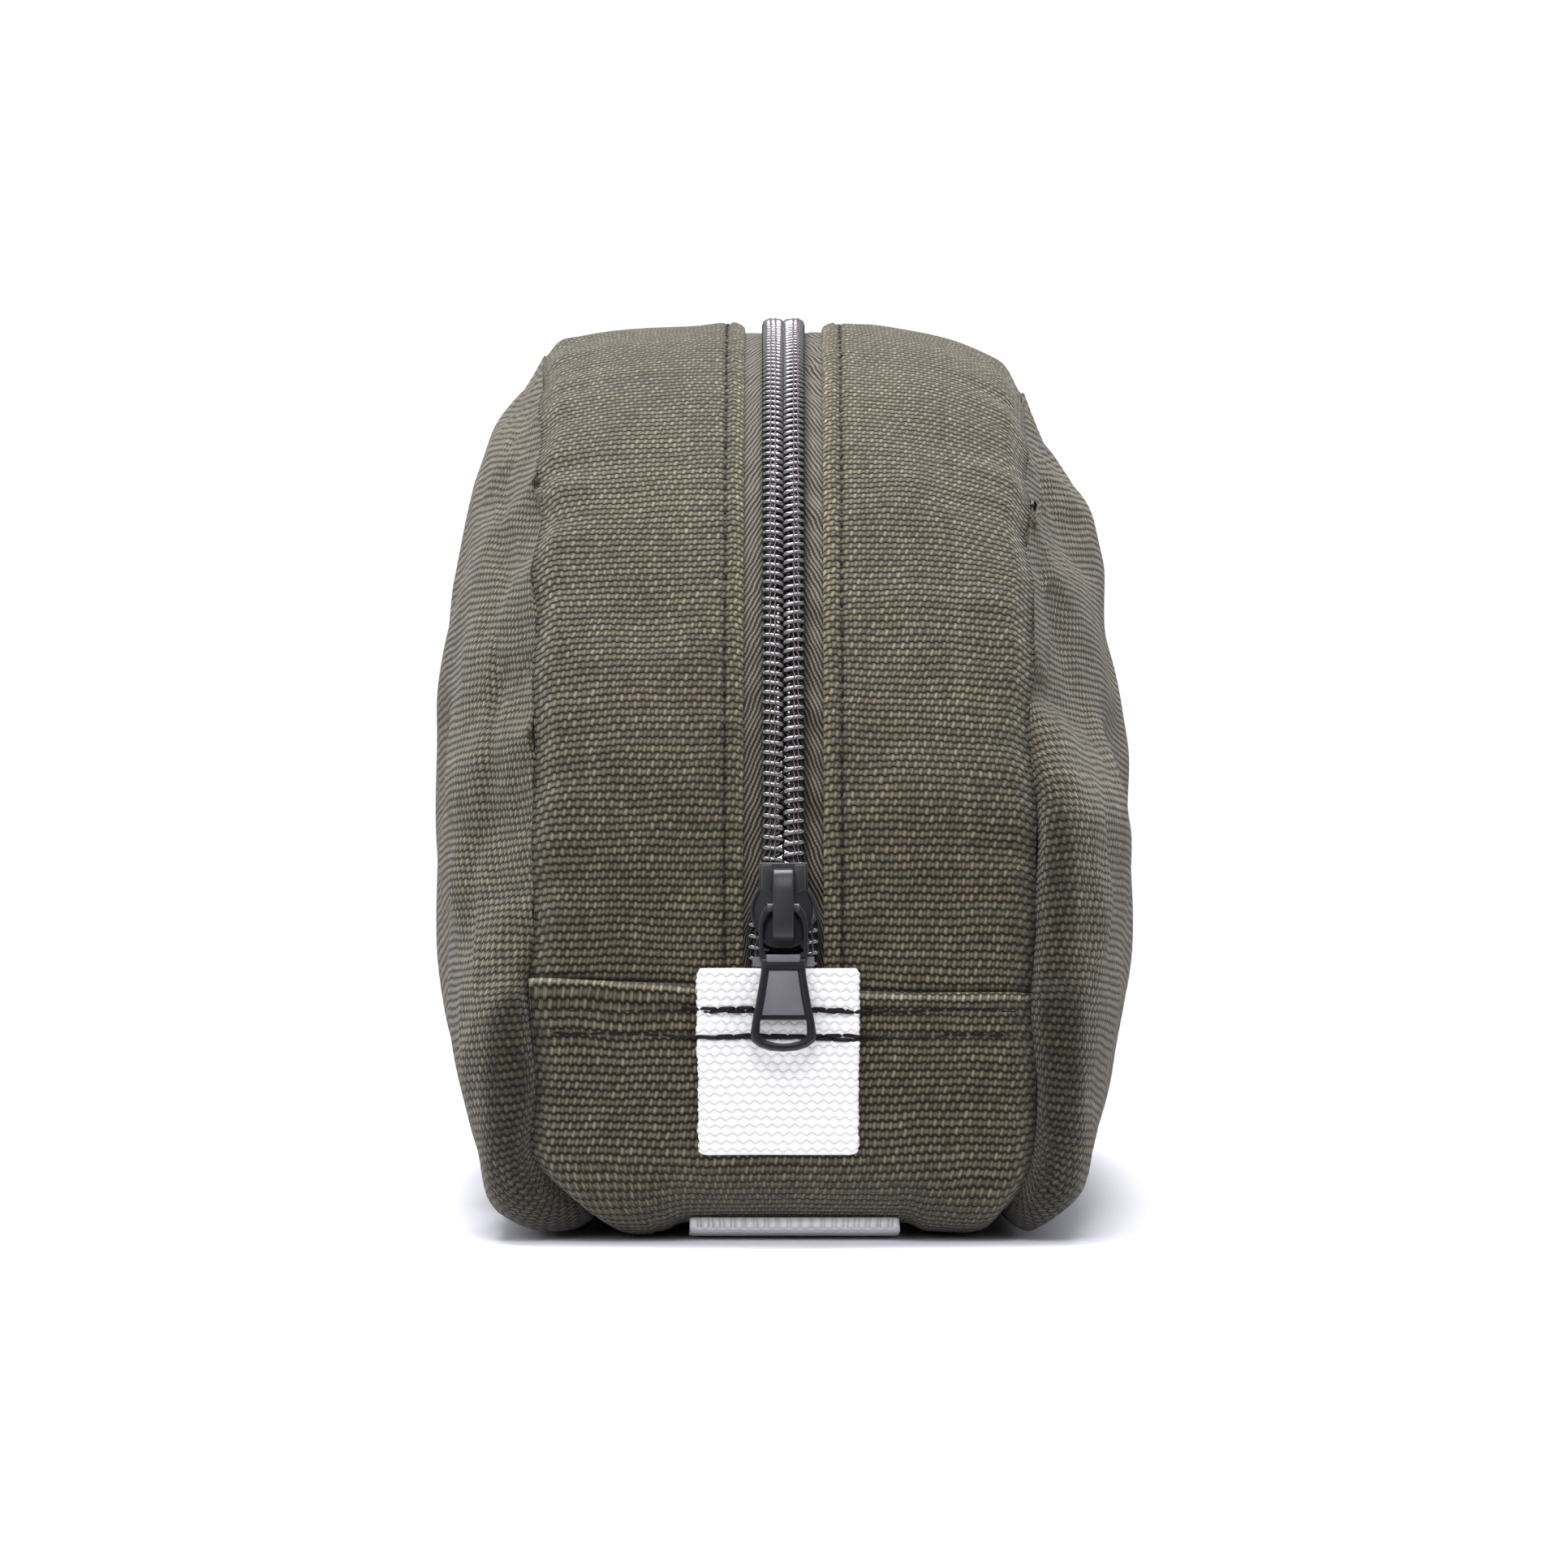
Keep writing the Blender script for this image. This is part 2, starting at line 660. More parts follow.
def elastic_material():
    """Knit with columns 1.1 mm apart and waving rows 1.5 mm apart."""
    graph = new_graph("black_knit_elastic")
    vector, across, along = graph.weave()
    column = (across * (2 * pi / 1.1)).sin()
    row = (along * (2 * pi / 1.5) + column * 1.2).sin()
    height = 0.5 + (column + row) * 0.25
    fibre = graph.noise(vector, 2.0, detail=3.0, rough=0.6)
    color = graph.ramp(height, [(0.0, (0.006, 0.006, 0.007)), (1.0, (0.055, 0.055, 0.06))])
    color = graph.shaded(color, 0.7 + fibre * 0.6)
    return graph.surface(color=color, rough=0.8, normal=graph.bump(height, depth=0.25),
                         sheen=0.2, specular=0.25)


# each look is a material and its slot
CANVAS = canvas_material(), "olive_canvas"
WEBBING = webbing_material(), "white_webbing"
TAPE = tape_material(), "zip_tape"
THREAD = thread_material("dark_sewing_thread", (0.014, 0.010, 0.012), rough=0.55), "dark_thread"
COIL_THREAD = (thread_material("olive_chain_thread", (0.115, 0.098, 0.105), rough=0.6),
               "dark_thread")
COIL = coil_material(), "zip_coil"
METAL = metal_material("gunmetal_casting", (0.006, 0.006, 0.008), rough=0.22, metal=0.10), "gunmetal"
PALE_METAL = metal_material("gunmetal_pull", (0.125, 0.120, 0.138), rough=0.42, metal=0.40)
LINING = (lining_material("lining_twill", dark=(0.020, 0.017, 0.012),
                          light=(0.085, 0.074, 0.055)), "lining_cloth")
BINDING = (lining_material("binding_grosgrain", dark=(0.012, 0.010, 0.008),
                           light=(0.060, 0.052, 0.040)), "binding_tape")
ELASTIC = elastic_material(), "black_elastic"

# ------------------------------------------------------------------ zip gussets
FOLD_X = 6.15                        # folded edge beside the zip
STITCH_X = 9.0                       # line of topstitching
GUSSET_REACH = WEAVE_HALF - FOLD_X
# distances in from the seam, close together at the seam, the stitching and the fold
GUSSET_COLUMNS = np.concatenate([
    [0, 0.2, 0.5, 0.9, 1.4, 2.1, 3.0, 4.0], np.linspace(5.2, 28.0, 25),
    [28.6, 28.95, 29.15, 29.3, 29.45, 29.7, 30.1, 30.6],
    [31.1, 31.5, 31.8, 32.05, 32.2, 32.32, 32.40, 32.45]])
# hem turned under at the fold: distance from the zip, greatest offset, cloth length past the fold
HEM_COLUMNS = ((6.22, -0.50, 0.6), (6.7, -0.78, 1.1), (8.0, -0.80, 2.5),
               (14.0, -0.80, 8.0), (26.0, -0.9, 20.0))
# back of the cloth near the seam: distance in from the seam, place in the weave
BACK_COLUMNS = ((5.0, 34.0), (1.6, 37.0), (0.4, 38.4))


def gusset_surface(along, x, side):
    """Outward offset of the zip gusset's face, at a distance x from the zip (always positive)."""
    to_seam = seam_half(along, side) - x
    free = smooth((outline(along)[1] - 39.5) / 14.0)  # 0 where the lower gusset is sewn over it
    seam_pucker = Waves(21 + side, 11.0, 12)(along)
    stitch_pucker = Waves(31 + side, 6.5, 12)(along)
    roll = Waves(41 + side, 44, 12, dims=2)(along, x)
    small = Waves(51 + side, 19, 14, dims=2)(along, x)
    out = 0.40 + 0.55 * smooth((x - 6.3) / 3.0) * (0.35 + 0.65 * free)
    # soft waves over the open cloth
    soft = (0.50 * roll * smooth(to_seam / 12) * smooth((x - 9) / 10)
            + 0.17 * small * smooth((x - 9) / 6) * smooth(to_seam / 4))
    out = out + free * (1 - 0.5 * topness(along)) * soft
    # puckers beside the seam and beside the topstitching
    out = out + (0.38 * seam_pucker * np.exp(-np.maximum(to_seam, 0) / 6.0)
                 * smooth(to_seam / 2.5) * (0.3 + 0.7 * free))
    out = out + 0.13 * stitch_pucker * np.exp(-np.abs(x - STITCH_X) / 2.4)
    out = out - 0.34 * bell(x - STITCH_X, 0.50)
    return out - tuck(along, x, side)


def zip_gusset(side, name, wall):
    def section(along):
        half = seam_half(along, side)
        columns, offsets = [], []
        for inset in GUSSET_COLUMNS:
            x = half - inset * (half - FOLD_X) / GUSSET_REACH
            out = gusset_surface(along, x, side) + 0.30 * smooth((8.5 - x) / 0.5)
            columns.append(x)
            offsets.append(out - 0.95 * (1 - quarter((x - FOLD_X) / 1.20)))
        for from_zip, greatest, _ in HEM_COLUMNS:
            x = np.full_like(along, from_zip)
            columns.append(x)
            offsets.append(np.minimum(greatest, gusset_surface(along, x, side) - 0.9))
        for inset, _ in BACK_COLUMNS:
            x = half - inset
            columns.append(x)
            offsets.append(gusset_surface(along, x, side) - 1.1)
        across = [*(WEAVE_HALF - GUSSET_COLUMNS), *(FOLD_X - hem[2] for hem in HEM_COLUMNS),
                  *(back[1] for back in BACK_COLUMNS)]
        return np.stack(columns, 1) * side, np.stack(offsets, 1), side * np.array(across)

    def wear(along, x, out):
        from_zip = np.abs(x)
        to_seam = seam_half(along, side)[:, None] - from_zip
        z = outline(along)[1][:, None]
        pale_fold = 0.40 * smooth((7.6 - from_zip) / 0.6)
        grooves = 0.55 * bell(from_zip - STITCH_X, 0.38) + 0.45 * bell(to_seam, 0.9)
        return pale_fold - grooves - 0.80 * bell(z - (LAP_Z + lap_rise(x)) - 0.25, 0.60)

    along = np.concatenate([
        np.linspace(ZIP_FRONT, ZIP_FRONT + 22, 40)[:-1],
        np.linspace(ZIP_FRONT + 22, ZIP_REAR - 22, 270)[:-1],
        np.linspace(ZIP_REAR - 22, ZIP_REAR, 40)])
    obj = sweep(f"zip_gusset_canvas_{name}", along, section, wear)
    finish(obj, CANVAS, [f"zip_gusset_{name}"], wall=wall)


for where in SIDES:
    zip_gusset(*where)

# ------------------------------------------------------------------ lower gusset
STRIP_X, STRIP_HALF = 1.7, 16.0      # middle and half width of the bottom webbing


def band_half(along, x):
    return np.where(x < 0, seam_half(along, -1), seam_half(along, 1))


def low_surface(along, x):
    """Outward offset of the lower gusset's face."""
    middle = from_middle(along)
    below = LAP_ALONG - middle                        # distance below the lap's edge
    half = band_half(along, x)
    to_seam = np.maximum(half - np.abs(x), 0)
    share = np.clip(np.abs(x) / half, 0, 1.1)
    crown = np.cos(np.clip(share, 0, 1) * pi / 2)
    upright = smooth((outline(along)[1] - 5.0) / 9.0)  # 1 on the ends, 0 underneath
    roll = Waves(61, 34, 14, dims=2)(along, x)
    fine = Waves(62, 15, 14, dims=2)(along, x)
    pucker = Waves(63, 9.5, 12)(along + 40 * np.sign(x))
    # swell, soft waves and seam puckers
    out = 2.05 + upright * smooth(below / 9.0) * (0.45 * crown + 0.30 * roll * smooth(to_seam / 8))
    out = out + 0.12 * fine * smooth(to_seam / 4) * smooth(below / 3) * upright
    out = out + 0.26 * pucker * np.exp(-to_seam / 5) * smooth(to_seam / 2) * upright
    # falls away to the seams
    out = out - upright * (1.3 + 0.5 * (x > 0)) * share ** 4.0
    out = out - (2.9 * upright + 2.6 * (1 - upright)) * seam_turn(to_seam)
    for depth in ROW_DEPTHS:                          # drawn in along the rows of stitching
        out = out - 0.36 * bell(below - depth, 0.75) * smooth(to_seam / 3)
    # hangs down to the ground on both sides of the webbing
    beside = np.abs(x - STRIP_X) - STRIP_HALF - 0.9
    out = out + 1.2 * (1 - upright) * smooth(beside / 3.5) * smooth(to_seam / 6.0)
    # the underside rises a little towards the middle of its ends
    return out - 0.9 * (1 - upright) * smooth((middle - 60) / 30.0) * crown * (x > -20)


def lower_gusset():
    shares = crowded(72, 1.3)
    inner = shares[::-3]

    def section(along):
        below = LAP_ALONG - from_middle(along)
        columns, offsets = [], []
        for share in shares:
            x = share * band_half(along, share)
            out = low_surface(along, x) - 0.95 * (1 - quarter(below))
            columns.append(x)
            offsets.append(out + 0.16 * bell(below - 1.3, 0.9))
        for share in inner:
            x = share * band_half(along, share) * 0.995
            columns.append(x)
            offsets.append(np.minimum(0.72, low_surface(along, x) - 1.2))
        across = np.concatenate([shares, inner]) * WEAVE_HALF
        return np.stack(columns, 1), np.stack(offsets, 1), across

    def wear(along, x, out):
        below = (LAP_ALONG - from_middle(along))[:, None]
        to_seam = band_half(along[:, None], x) - np.abs(x)
        shade = 0.75 * bell(below - 0.55, 0.65) - 0.45 * bell(to_seam, 0.9)
        for depth in ROW_DEPTHS:
            shade = shade - 0.22 * bell(below - depth, 0.5)
        return shade

    along = np.concatenate([
        LAP_ALONG - np.array([0, 0.08, 0.2, 0.36, 0.56, 0.8, 1.1, 1.5]),
        np.linspace(LAP_ALONG - 1.9, LAP_ALONG - 12, 26)[:-1],
        np.linspace(LAP_ALONG - 12, -LAP_ALONG + 12, 320)])
    along = np.concatenate([along, -along[:33][::-1]])
    obj = sweep("lower_gusset_canvas", wrapped(along), section, wear)
    continuous_weave(obj)
    places = mesh_coords(obj.data)
    near_edge = np.exp(-np.maximum(0, LAP_Z - 0.8 - places[:, 2]) / 2.6)
    places[:, 2] += near_edge * (np.abs(places[:, 1]) > 90) * lap_rise(places[:, 0])
    set_coords(obj, places)
    finish(obj, CANVAS, ["lower_gusset"], body="base")


lower_gusset()

# ------------------------------------------------------------------ side panels
CENTRE_Z = 52.0                      # the panel's centre is at y = 0 and this height
GRAIN_COS, GRAIN_SIN = 0.9903, 0.1392  # the panel is cut slightly off the grain


def rim_table():
    """Angles round the panel's centre, over three turns, with lengths and radii of the rim."""
    lengths = np.linspace(0, TOTAL, 2400, endpoint=False)
    y, z, _, _ = outline(lengths)
    angles = np.arctan2(z - CENTRE_Z, y)
    order = np.argsort(angles)
    angles = angles[order]
    three_turns = np.concatenate([angles - 2 * pi, angles, angles + 2 * pi])
    return three_turns, lengths[order], np.hypot(y, z - CENTRE_Z)[order]


RIM_ANGLES, RIM_LENGTHS, RIM_RADII = rim_table()


def rim_at(angle):
    """Outline length and distance from the panel's centre, at an angle round that centre."""
    angle = np.mod(np.asarray(angle) + pi, 2 * pi) - pi

    def around(values):
        return np.interp(angle, RIM_ANGLES, np.tile(values, 3))

    turn = np.arctan2(around(np.sin(2 * pi * RIM_LENGTHS / TOTAL)),
                      around(np.cos(2 * pi * RIM_LENGTHS / TOTAL)))
    return np.mod(turn, 2 * pi) * TOTAL / (2 * pi), around(RIM_RADII)


def rim_beside(y, z):
    """Angle of a point round the centre, the rim's length and radius there, its own radius."""
    angle = np.arctan2(z - CENTRE_Z, y)
    return (angle, *rim_at(angle), np.hypot(y, z - CENTRE_Z))


# bulge of a plain panel: distance over the cloth from the seam, bulge
PLAIN = {
    -1: ([0, 4, 8, 13, 22, 31, 40, 50, 60, 85],
         [0, 2.2, 4.9, 8.0, 11.2, 13.1, 14.7, 15.9, 16.5, 16.8]),
    1: ([0, 6, 13, 22, 31, 40, 48, 58, 70, 85],
        [0, 1.9, 4.6, 8.4, 11.2, 12.8, 14.2, 15.7, 16.3, 16.5]),
}
# panel rolled out past its seam: distance over the cloth, distance in from the seam, bulge
ROLL_CLOTH = [0, 1.2, 2.4, 3.6, 4.8, 6.0, 7.5, 9.5, 13, 18, 24, 31, 40, 50, 60, 85]
ROLL_INSET = [0, -1.5, -2.8, -3.5, -3.6, -3.2, -2.1, -0.3, 3.0, 8.0, 14.2, 22.0, 32.5, 44.5, 56.5, 84]
ROLL_BULGE = [0, 0.5, 1.2, 2.2, 3.4, 4.7, 6.1, 7.5, 9.2, 10.9, 12.4, 13.9, 15.2, 16.1, 16.6, 16.9]


def rollness(along, side):
    """1 where the panel swells out beside its seam, 0 where it tucks in behind the gusset."""
    y, z, _, _ = outline(along)
    turn, width = (78.0 if side > 0 else 44.0), 34.0
    front = 1 - smooth((z - turn + width / 2) / width)
    rear = 1 - smooth((z - 36.0) / 40.0)
    return np.where(y < 0, front, rear)


def panel_grid(cells):
    """Square grid pressed into a disc: radii from 0 to 1 and angles."""
    marks = crowded(cells + 1, 1.35)
    right, up = np.meshgrid(marks, marks, indexing="ij")
    disc_y, disc_z = right * np.sqrt(1 - up * up / 2), up * np.sqrt(1 - right * right / 2)
    rho = np.clip(np.hypot(disc_y, disc_z), 0, 1)
    return rho.ravel(), np.arctan2(disc_z, disc_y).ravel()


def panel_curve(cloth, along, side, rho, roll):
    """Distance in from the seam and bulge, for a distance over the cloth from the seam."""
    rolled = rollness(along, side) * roll
    plain_bulge = np.interp(cloth, *PLAIN[side])
    roll_inset = np.interp(cloth, ROLL_CLOTH, ROLL_INSET)
    roll_bulge = np.interp(cloth, ROLL_CLOTH, ROLL_BULGE)
    # what the seam draws in under the pouch, the panel makes up
    back = (SEAM_HALF - seam_half(along, side)) * smooth(cloth / 10.0)
    outer = smooth((rho - 0.05) / 0.5)               # all directions meet in one middle value
    bulge = (plain_bulge + (roll_bulge - plain_bulge) * rolled) * outer + 16.7 * (1 - outer)
    return cloth + (roll_inset - cloth) * rolled * smooth(rho / 0.6), bulge + back


def seam_depth(along, side):
    """Outward offset of the band where it meets the side panel."""
    half = seam_half(along, side)
    z = outline(along)[1]
    upper = np.where(z > LAP_Z - 2, gusset_surface(along, half, side), 0)
    share = smooth((z - 33) / 10.0)
    return low_surface(along, side * half) * (1 - share) + upper * share


def seam_distance(y, z, to_rim):
    """Distance from the nearest seam, rounded where the bottom and the arch are equally near."""
    bottom = np.maximum(z - BOTTOM_Z, 0.01)
    arch = np.maximum(ARCH_R - np.hypot(y, np.maximum(z - ARCH_Z, 0)), 0.01)
    return np.minimum((bottom ** -4.0 + arch ** -4.0) ** -0.25, to_rim)


def panel_points(rho, phi, side, inward=0.0, bulge=1.0, roll=1.0):
    """Points of the side panel, their unrolled cloth places and their distances from the seam."""
    along, radius = rim_at(phi)
    y, z, norm_y, norm_z = outline(along)
    half = seam_half(along, side)
    rim_out = seam_depth(along, side) + 0.1
    facing = np.clip(np.abs(np.cos(phi) * norm_y + np.sin(phi) * norm_z), 0.35, 1)

    def at(share):
        cloth = seam_distance(y * share, CENTRE_Z + (z - CENTRE_Z) * share,
                              (1 - share) * radius * facing)
        inset, swell = panel_curve(cloth, along, side, share, roll)
        rim_y, rim_z = y + norm_y * rim_out, z + norm_z * rim_out
        # near the seam points shift along the rim's own direction, inside along the ray
        panel_y = rim_y * share + norm_y * (cloth - inset)
        panel_z = CENTRE_Z + (rim_z - CENTRE_Z) * share + norm_z * (cloth - inset)
        return panel_y, panel_z, half + swell * bulge - inward, cloth

    panel_y, panel_z, x, cloth = at(rho)
    # cloth used by the bulge beyond the flat distance from the centre
    steps = 60
    extra = np.zeros_like(rho)
    last = at(np.zeros_like(rho))
    for i in range(1, steps + 1):
        now = at(rho * i / steps)
        moved = np.sqrt(sum((now[axis] - last[axis]) ** 2 for axis in range(3)))
        extra += np.maximum(0, moved - np.hypot(y, z - CENTRE_Z) * rho / steps)
        last = now
    flat_y = y * rho + norm_y * extra
    flat_z = CENTRE_Z + (z - CENTRE_Z) * rho + norm_z * extra
    uv = np.stack([flat_y * GRAIN_COS - flat_z * GRAIN_SIN,
                   flat_z * GRAIN_COS + flat_y * GRAIN_SIN], -1)
    return np.stack([side * x, panel_y, panel_z], -1), uv, cloth


def simulate(obj, pins, frames, pressure, shrink, limit):
    """Inflates a pinned sheet cut a little too large, so that it puckers as sewn canvas does.

    No point moves more than the limit, in mm.
    """
    rest = mesh_coords(obj.data)
    group = obj.vertex_groups.new(name="pin")
    for i, weight in enumerate(pins):
        if weight > 0:
            group.add([i], float(weight), "REPLACE")
    cloth = obj.modifiers.new("Cloth", "CLOTH")
    settings = cloth.settings
    settings.quality = 6
    settings.mass = 0.25
    settings.tension_stiffness = settings.compression_stiffness = 15.0
    settings.shear_stiffness = 15.0 * 0.6
    settings.bending_stiffness = 0.6
    settings.tension_damping = settings.compression_damping = 8
    settings.air_damping = 3
    settings.use_pressure = True
    settings.uniform_pressure_force = pressure
    settings.vertex_group_mass = "pin"
    settings.pin_stiffness = 1.0
    settings.shrink_min = shrink
    settings.effector_weights.gravity = 0
    cloth.collision_settings.use_collision = False
    cloth.collision_settings.use_self_collision = False
    cloth.point_cache.frame_start = 1
    cloth.point_cache.frame_end = frames
    scene.frame_start, scene.frame_end = 1, frames
    for i in range(1, frames + 1):
        scene.frame_set(i)
    evaluated = obj.evaluated_get(bpy.context.evaluated_depsgraph_get())
    moved = mesh_coords(evaluated.to_mesh())
    evaluated.to_mesh_clear()
    obj.modifiers.clear()
    obj.vertex_groups.clear()
    scene.frame_set(1)
    # a simulation that blows up leaves the start shape
    if not np.isfinite(moved).all():
        return
    move = moved - rest
    far = np.linalg.norm(move, axis=1)
    share = np.where(far > 1e-6, limit * np.tanh(far / limit) / np.maximum(far, 1e-6), 1.0)
    set_coords(obj, rest + move * share[:, None])


# soft folds on the panels: start (y, z), end (y, z), width, depth
FOLDS = {
    -1: [(-104, 92, -66, 72, 5.0, -1.0), (-106, 82, -70, 60, 6.0, 0.8),
         (-92, 104, -48, 84, 7.0, 0.7), (-80, 114, -30, 100, 7.0, -0.8),
         (-112, 58, -84, 42, 5.0, -1.0), (60, 122, 30, 92, 8.0, -1.0),
         (104, 88, 66, 66, 7.0, -1.1), (108, 60, 78, 44, 6.0, 0.8)],
    1: [(-100, 89, -74, 77, 3.6, -1.5), (-97, 96, -66, 82, 5.0, 1.2),
        (-88, 108, -56, 90, 6.0, -0.8), (-72, 118, -50, 94, 6.0, 0.7),
        (-112, 66, -86, 50, 6.0, -0.8), (52, 124, 26, 90, 8.0, -1.0),
        (100, 92, 60, 70, 7.0, -1.1), (106, 64, 76, 46, 6.0, 0.8)],
}
# widening of the bulge: heights, shares of the width beyond 37.5
SWELL = {
    -1: ([0, 8, 16, 20, 26, 56, 66, 78, 90, 104, 112, 130, 140],
         [-0.07, -0.07, -0.02, 0.04, 0.09, 0.09, 0.02, -0.04, -0.06, -0.09, -0.08, -0.06, 0]),
    1: ([0, 6, 12, 20, 60, 68, 76, 90, 104, 110, 118, 124, 130, 140],
        [0, 0.02, 0.08, 0.12, 0.11, 0.05, -0.05, -0.06, -0.02, 0.09, 0.16, 0.14, 0.06, 0]),
}
# greatest half width near the ground: heights, half widths
LOW_LIMIT = {
    -1: ([0, 1.2, 2.2, 3.4, 4.3, 8, 14], [37.5, 39.5, 41.0, 43.6, 45.2, 48.0, 56]),
    1: ([0, 1.2, 2.2, 3.4, 5.3, 8, 14], [35.5, 37.6, 39.2, 41.0, 43.8, 47.6, 56]),
}


def fold_field(y, z, side):
    total = np.zeros_like(y)
    for start_y, start_z, end_y, end_z, width, depth in FOLDS[side]:
        run_y, run_z = end_y - start_y, end_z - start_z
        share = (y - start_y) * run_y + (z - start_z) * run_z
        share = np.clip(share / (run_y ** 2 + run_z ** 2), 0, 1)
        away = np.hypot(y - start_y - share * run_y, z - start_z - share * run_z)
        total += depth * bell(away, width) * (1 - 0.75 * share)
    return total


def shape_panel(obj, side):
    """Adds puckers and folds, rests the panel on the ground and trims its bulge."""
    places = mesh_coords(obj.data)
    y, z = places[:, 1], places[:, 2]
    _, along, rim, radius = rim_beside(y, z)
    inside = np.maximum(0, rim - radius)
    rolled = rollness(along, side)
    pucker = Waves(71 + side, 11.0, 12)(along)
    long_pucker = Waves(73 + side, 26.0, 12)(along)
    soft = Waves(75 + side, 46.0, 14, dims=2)(y, z)
    relief = (0.36 * pucker * (1 - 0.8 * rolled) * np.exp(-inside / 7.0) * smooth(inside / 3.0)
              + 0.35 * long_pucker * np.exp(-inside / 22.0) * smooth(inside / 6.0))
    relief += 0.45 * soft * smooth(inside / 30)
    relief += fold_field(y, z, side) * smooth(inside / 4.0) * (1 - 0.4 * rolled)
    normals = np.zeros(len(places) * 3, np.float32)
    obj.data.vertices.foreach_get("normal", normals)
    normals = normals.reshape(-1, 3)
    if normals[:, 0].mean() * side < 0:
        normals = -normals
    places = places + normals * relief[:, None]
    # rests on the ground
    z = places[:, 2]
    z = np.where(z < 1.2, 0.35 + np.exp((z - 1.2) / 1.2) * 0.85, z)
    levels = np.arange(-20, 175, 1.0)
    window = np.hanning(13)
    swell = np.convolve(np.interp(levels, *SWELL[side]), window / window.sum(), "same")
    half = np.abs(places[:, 0])
    half = half + np.maximum(half - 37.5, 0) * np.interp(z, levels, swell) * smooth(inside / 7.0)
    # eases into the limit over the last 1.6 mm
    ease = 1.6
    start = np.interp(z, *LOW_LIMIT[side]) + 0.2 - ease
    half = np.where(half > start, start + ease * np.tanh((half - start) / ease), half)
    set_coords(obj, np.stack([side * half, places[:, 1], z], -1))


def turn_in_rim(obj, side):
    """Adds the seam allowance, turned in all round."""
    edit = bmesh.new()
    edit.from_mesh(obj.data)
    edges = [edge for edge in edit.edges if edge.is_boundary]
    made = bmesh.ops.extrude_edge_only(edit, edges=edges)["geom"]
    verts = [item for item in made if isinstance(item, bmesh.types.BMVert)]
    _, y, z = (np.array([vert.co for vert in verts], float) * 1000).T
    along = rim_beside(y, z)[1]
    _, _, norm_y, norm_z = outline(along)
    places = np.stack([side * (seam_half(along, side) - 0.35), y - 3.4 * norm_y,
                       np.maximum(2.2, z - 3.4 * norm_z)], -1)
    for vert, spot in zip(verts, places * MILLI):
        vert.co = tuple(spot)
    bmesh.ops.recalc_face_normals(edit, faces=edit.faces)
    edit.to_mesh(obj.data)
    edit.free()
    normals = np.zeros(len(obj.data.polygons) * 3, np.float32)
    obj.data.polygons.foreach_get("normal", normals)
    if normals.reshape(-1, 3)[:, 0].mean() * side < 0:
        obj.data.flip_normals()
    obj.data.shade_smooth()


def side_panel(side, name, wall):
    cells = 88
    rho, phi = panel_grid(cells)
    points, uv, cloth = panel_points(rho, phi, side)
    faces = grid_faces(cells + 1, cells + 1, flip=side > 0)
    obj = make_object(f"side_panel_canvas_{name}", points, faces, uv)
    pins = np.where(rho > 0.999, 1.0, np.where(cloth < 7.0, 0.85 - 0.06 * cloth, 0.0))
    simulate(obj, pins, frames=18, pressure=2.4, shrink=-0.014, limit=1.4)
    finer = obj.modifiers.new("sub", "SUBSURF")
    finer.levels = finer.render_levels = 1
    finer.boundary_smooth = "PRESERVE_CORNERS"
    baked(obj)
    shape_panel(obj, side)
    turn_in_rim(obj, side)
    thicken(obj, 0.9)
    _, y, z = mesh_coords(obj.data).T
    _, _, rim, radius = rim_beside(y, z)
    add_wear(obj, -0.55 * bell(np.maximum(0, rim - radius + 0.5), 1.6))
    finish(obj, CANVAS, [f"side_panel_{name}"], wall=wall)


for where in SIDES:
    side_panel(*where)


# ------------------------------------------------------------------ zip tapes
def spread_at(along):
    """How far each coil and tape stands out from the zip's line, below the slider."""
    z = outline(along)[1]
    spread = np.interp(z, [38.0, 41.5, 44.5, 48.5, 55.5], [1.5, 1.9, 2.15, 2.1, 0.0])
    return np.where(np.asarray(along) < TOTAL / 2, spread, 0.0)


def zip_tape(side, name, wall):
    wave = Waves(81 + side, 9.5, 10)
    ripple_size = 0.36 if side > 0 else 0.14
    dark_share, dark_edge = (0.80, 3.35) if side > 0 else (0.35, 3.0)
    columns = np.concatenate([[1.05, 1.3], np.linspace(1.8, 7.2, 16), [9.5, 12.0, 15.3]])

    def section(along):
        spread = spread_at(along)
        widths, offsets = [], []
        # outer face, then inner face: offset, raised middle, columns
        for face, raised, order in ((-0.82, 0.10, columns), (-1.35, 0.0, columns[::-1])):
            for column in order:
                widths.append(column + spread * np.exp(-max(0, column - 3.0) / 2.5))
                ripple = ripple_size * wave(along + 0.8 * column) * bell(column - 4.9, 1.5)
                offsets.append(face + ripple + raised * (2.5 < column < 7))
        across = side * np.concatenate([columns, columns[::-1]])
        return side * np.stack(widths, 1), np.stack(offsets, 1), across

    def wear(along, x, out):
        from_coil = np.abs(x) - spread_at(along)[:, None]
        beside_coil = dark_share * bell(np.maximum(0, from_coil - dark_edge), 0.75)
        return 0.12 - beside_coil - 0.45 * bell(from_coil - 6.4, 0.45)

    along = np.linspace(ZIP_FRONT, ZIP_REAR, 420)
    obj = sweep(f"zip_tape_cloth_{name}", along, section, wear)
    finish(obj, TAPE, [f"zip_tape_{name}"], wall=wall)


for where in SIDES:
    zip_tape(*where)

# ------------------------------------------------------------------ zip coils and their threads
PITCH = 1.70
COIL_FRONT = arch_along(39.6)
COIL_REAR = TOTAL - COIL_FRONT
TURNS = int((COIL_REAR - COIL_FRONT) / PITCH)
TURN_STEPS = 16


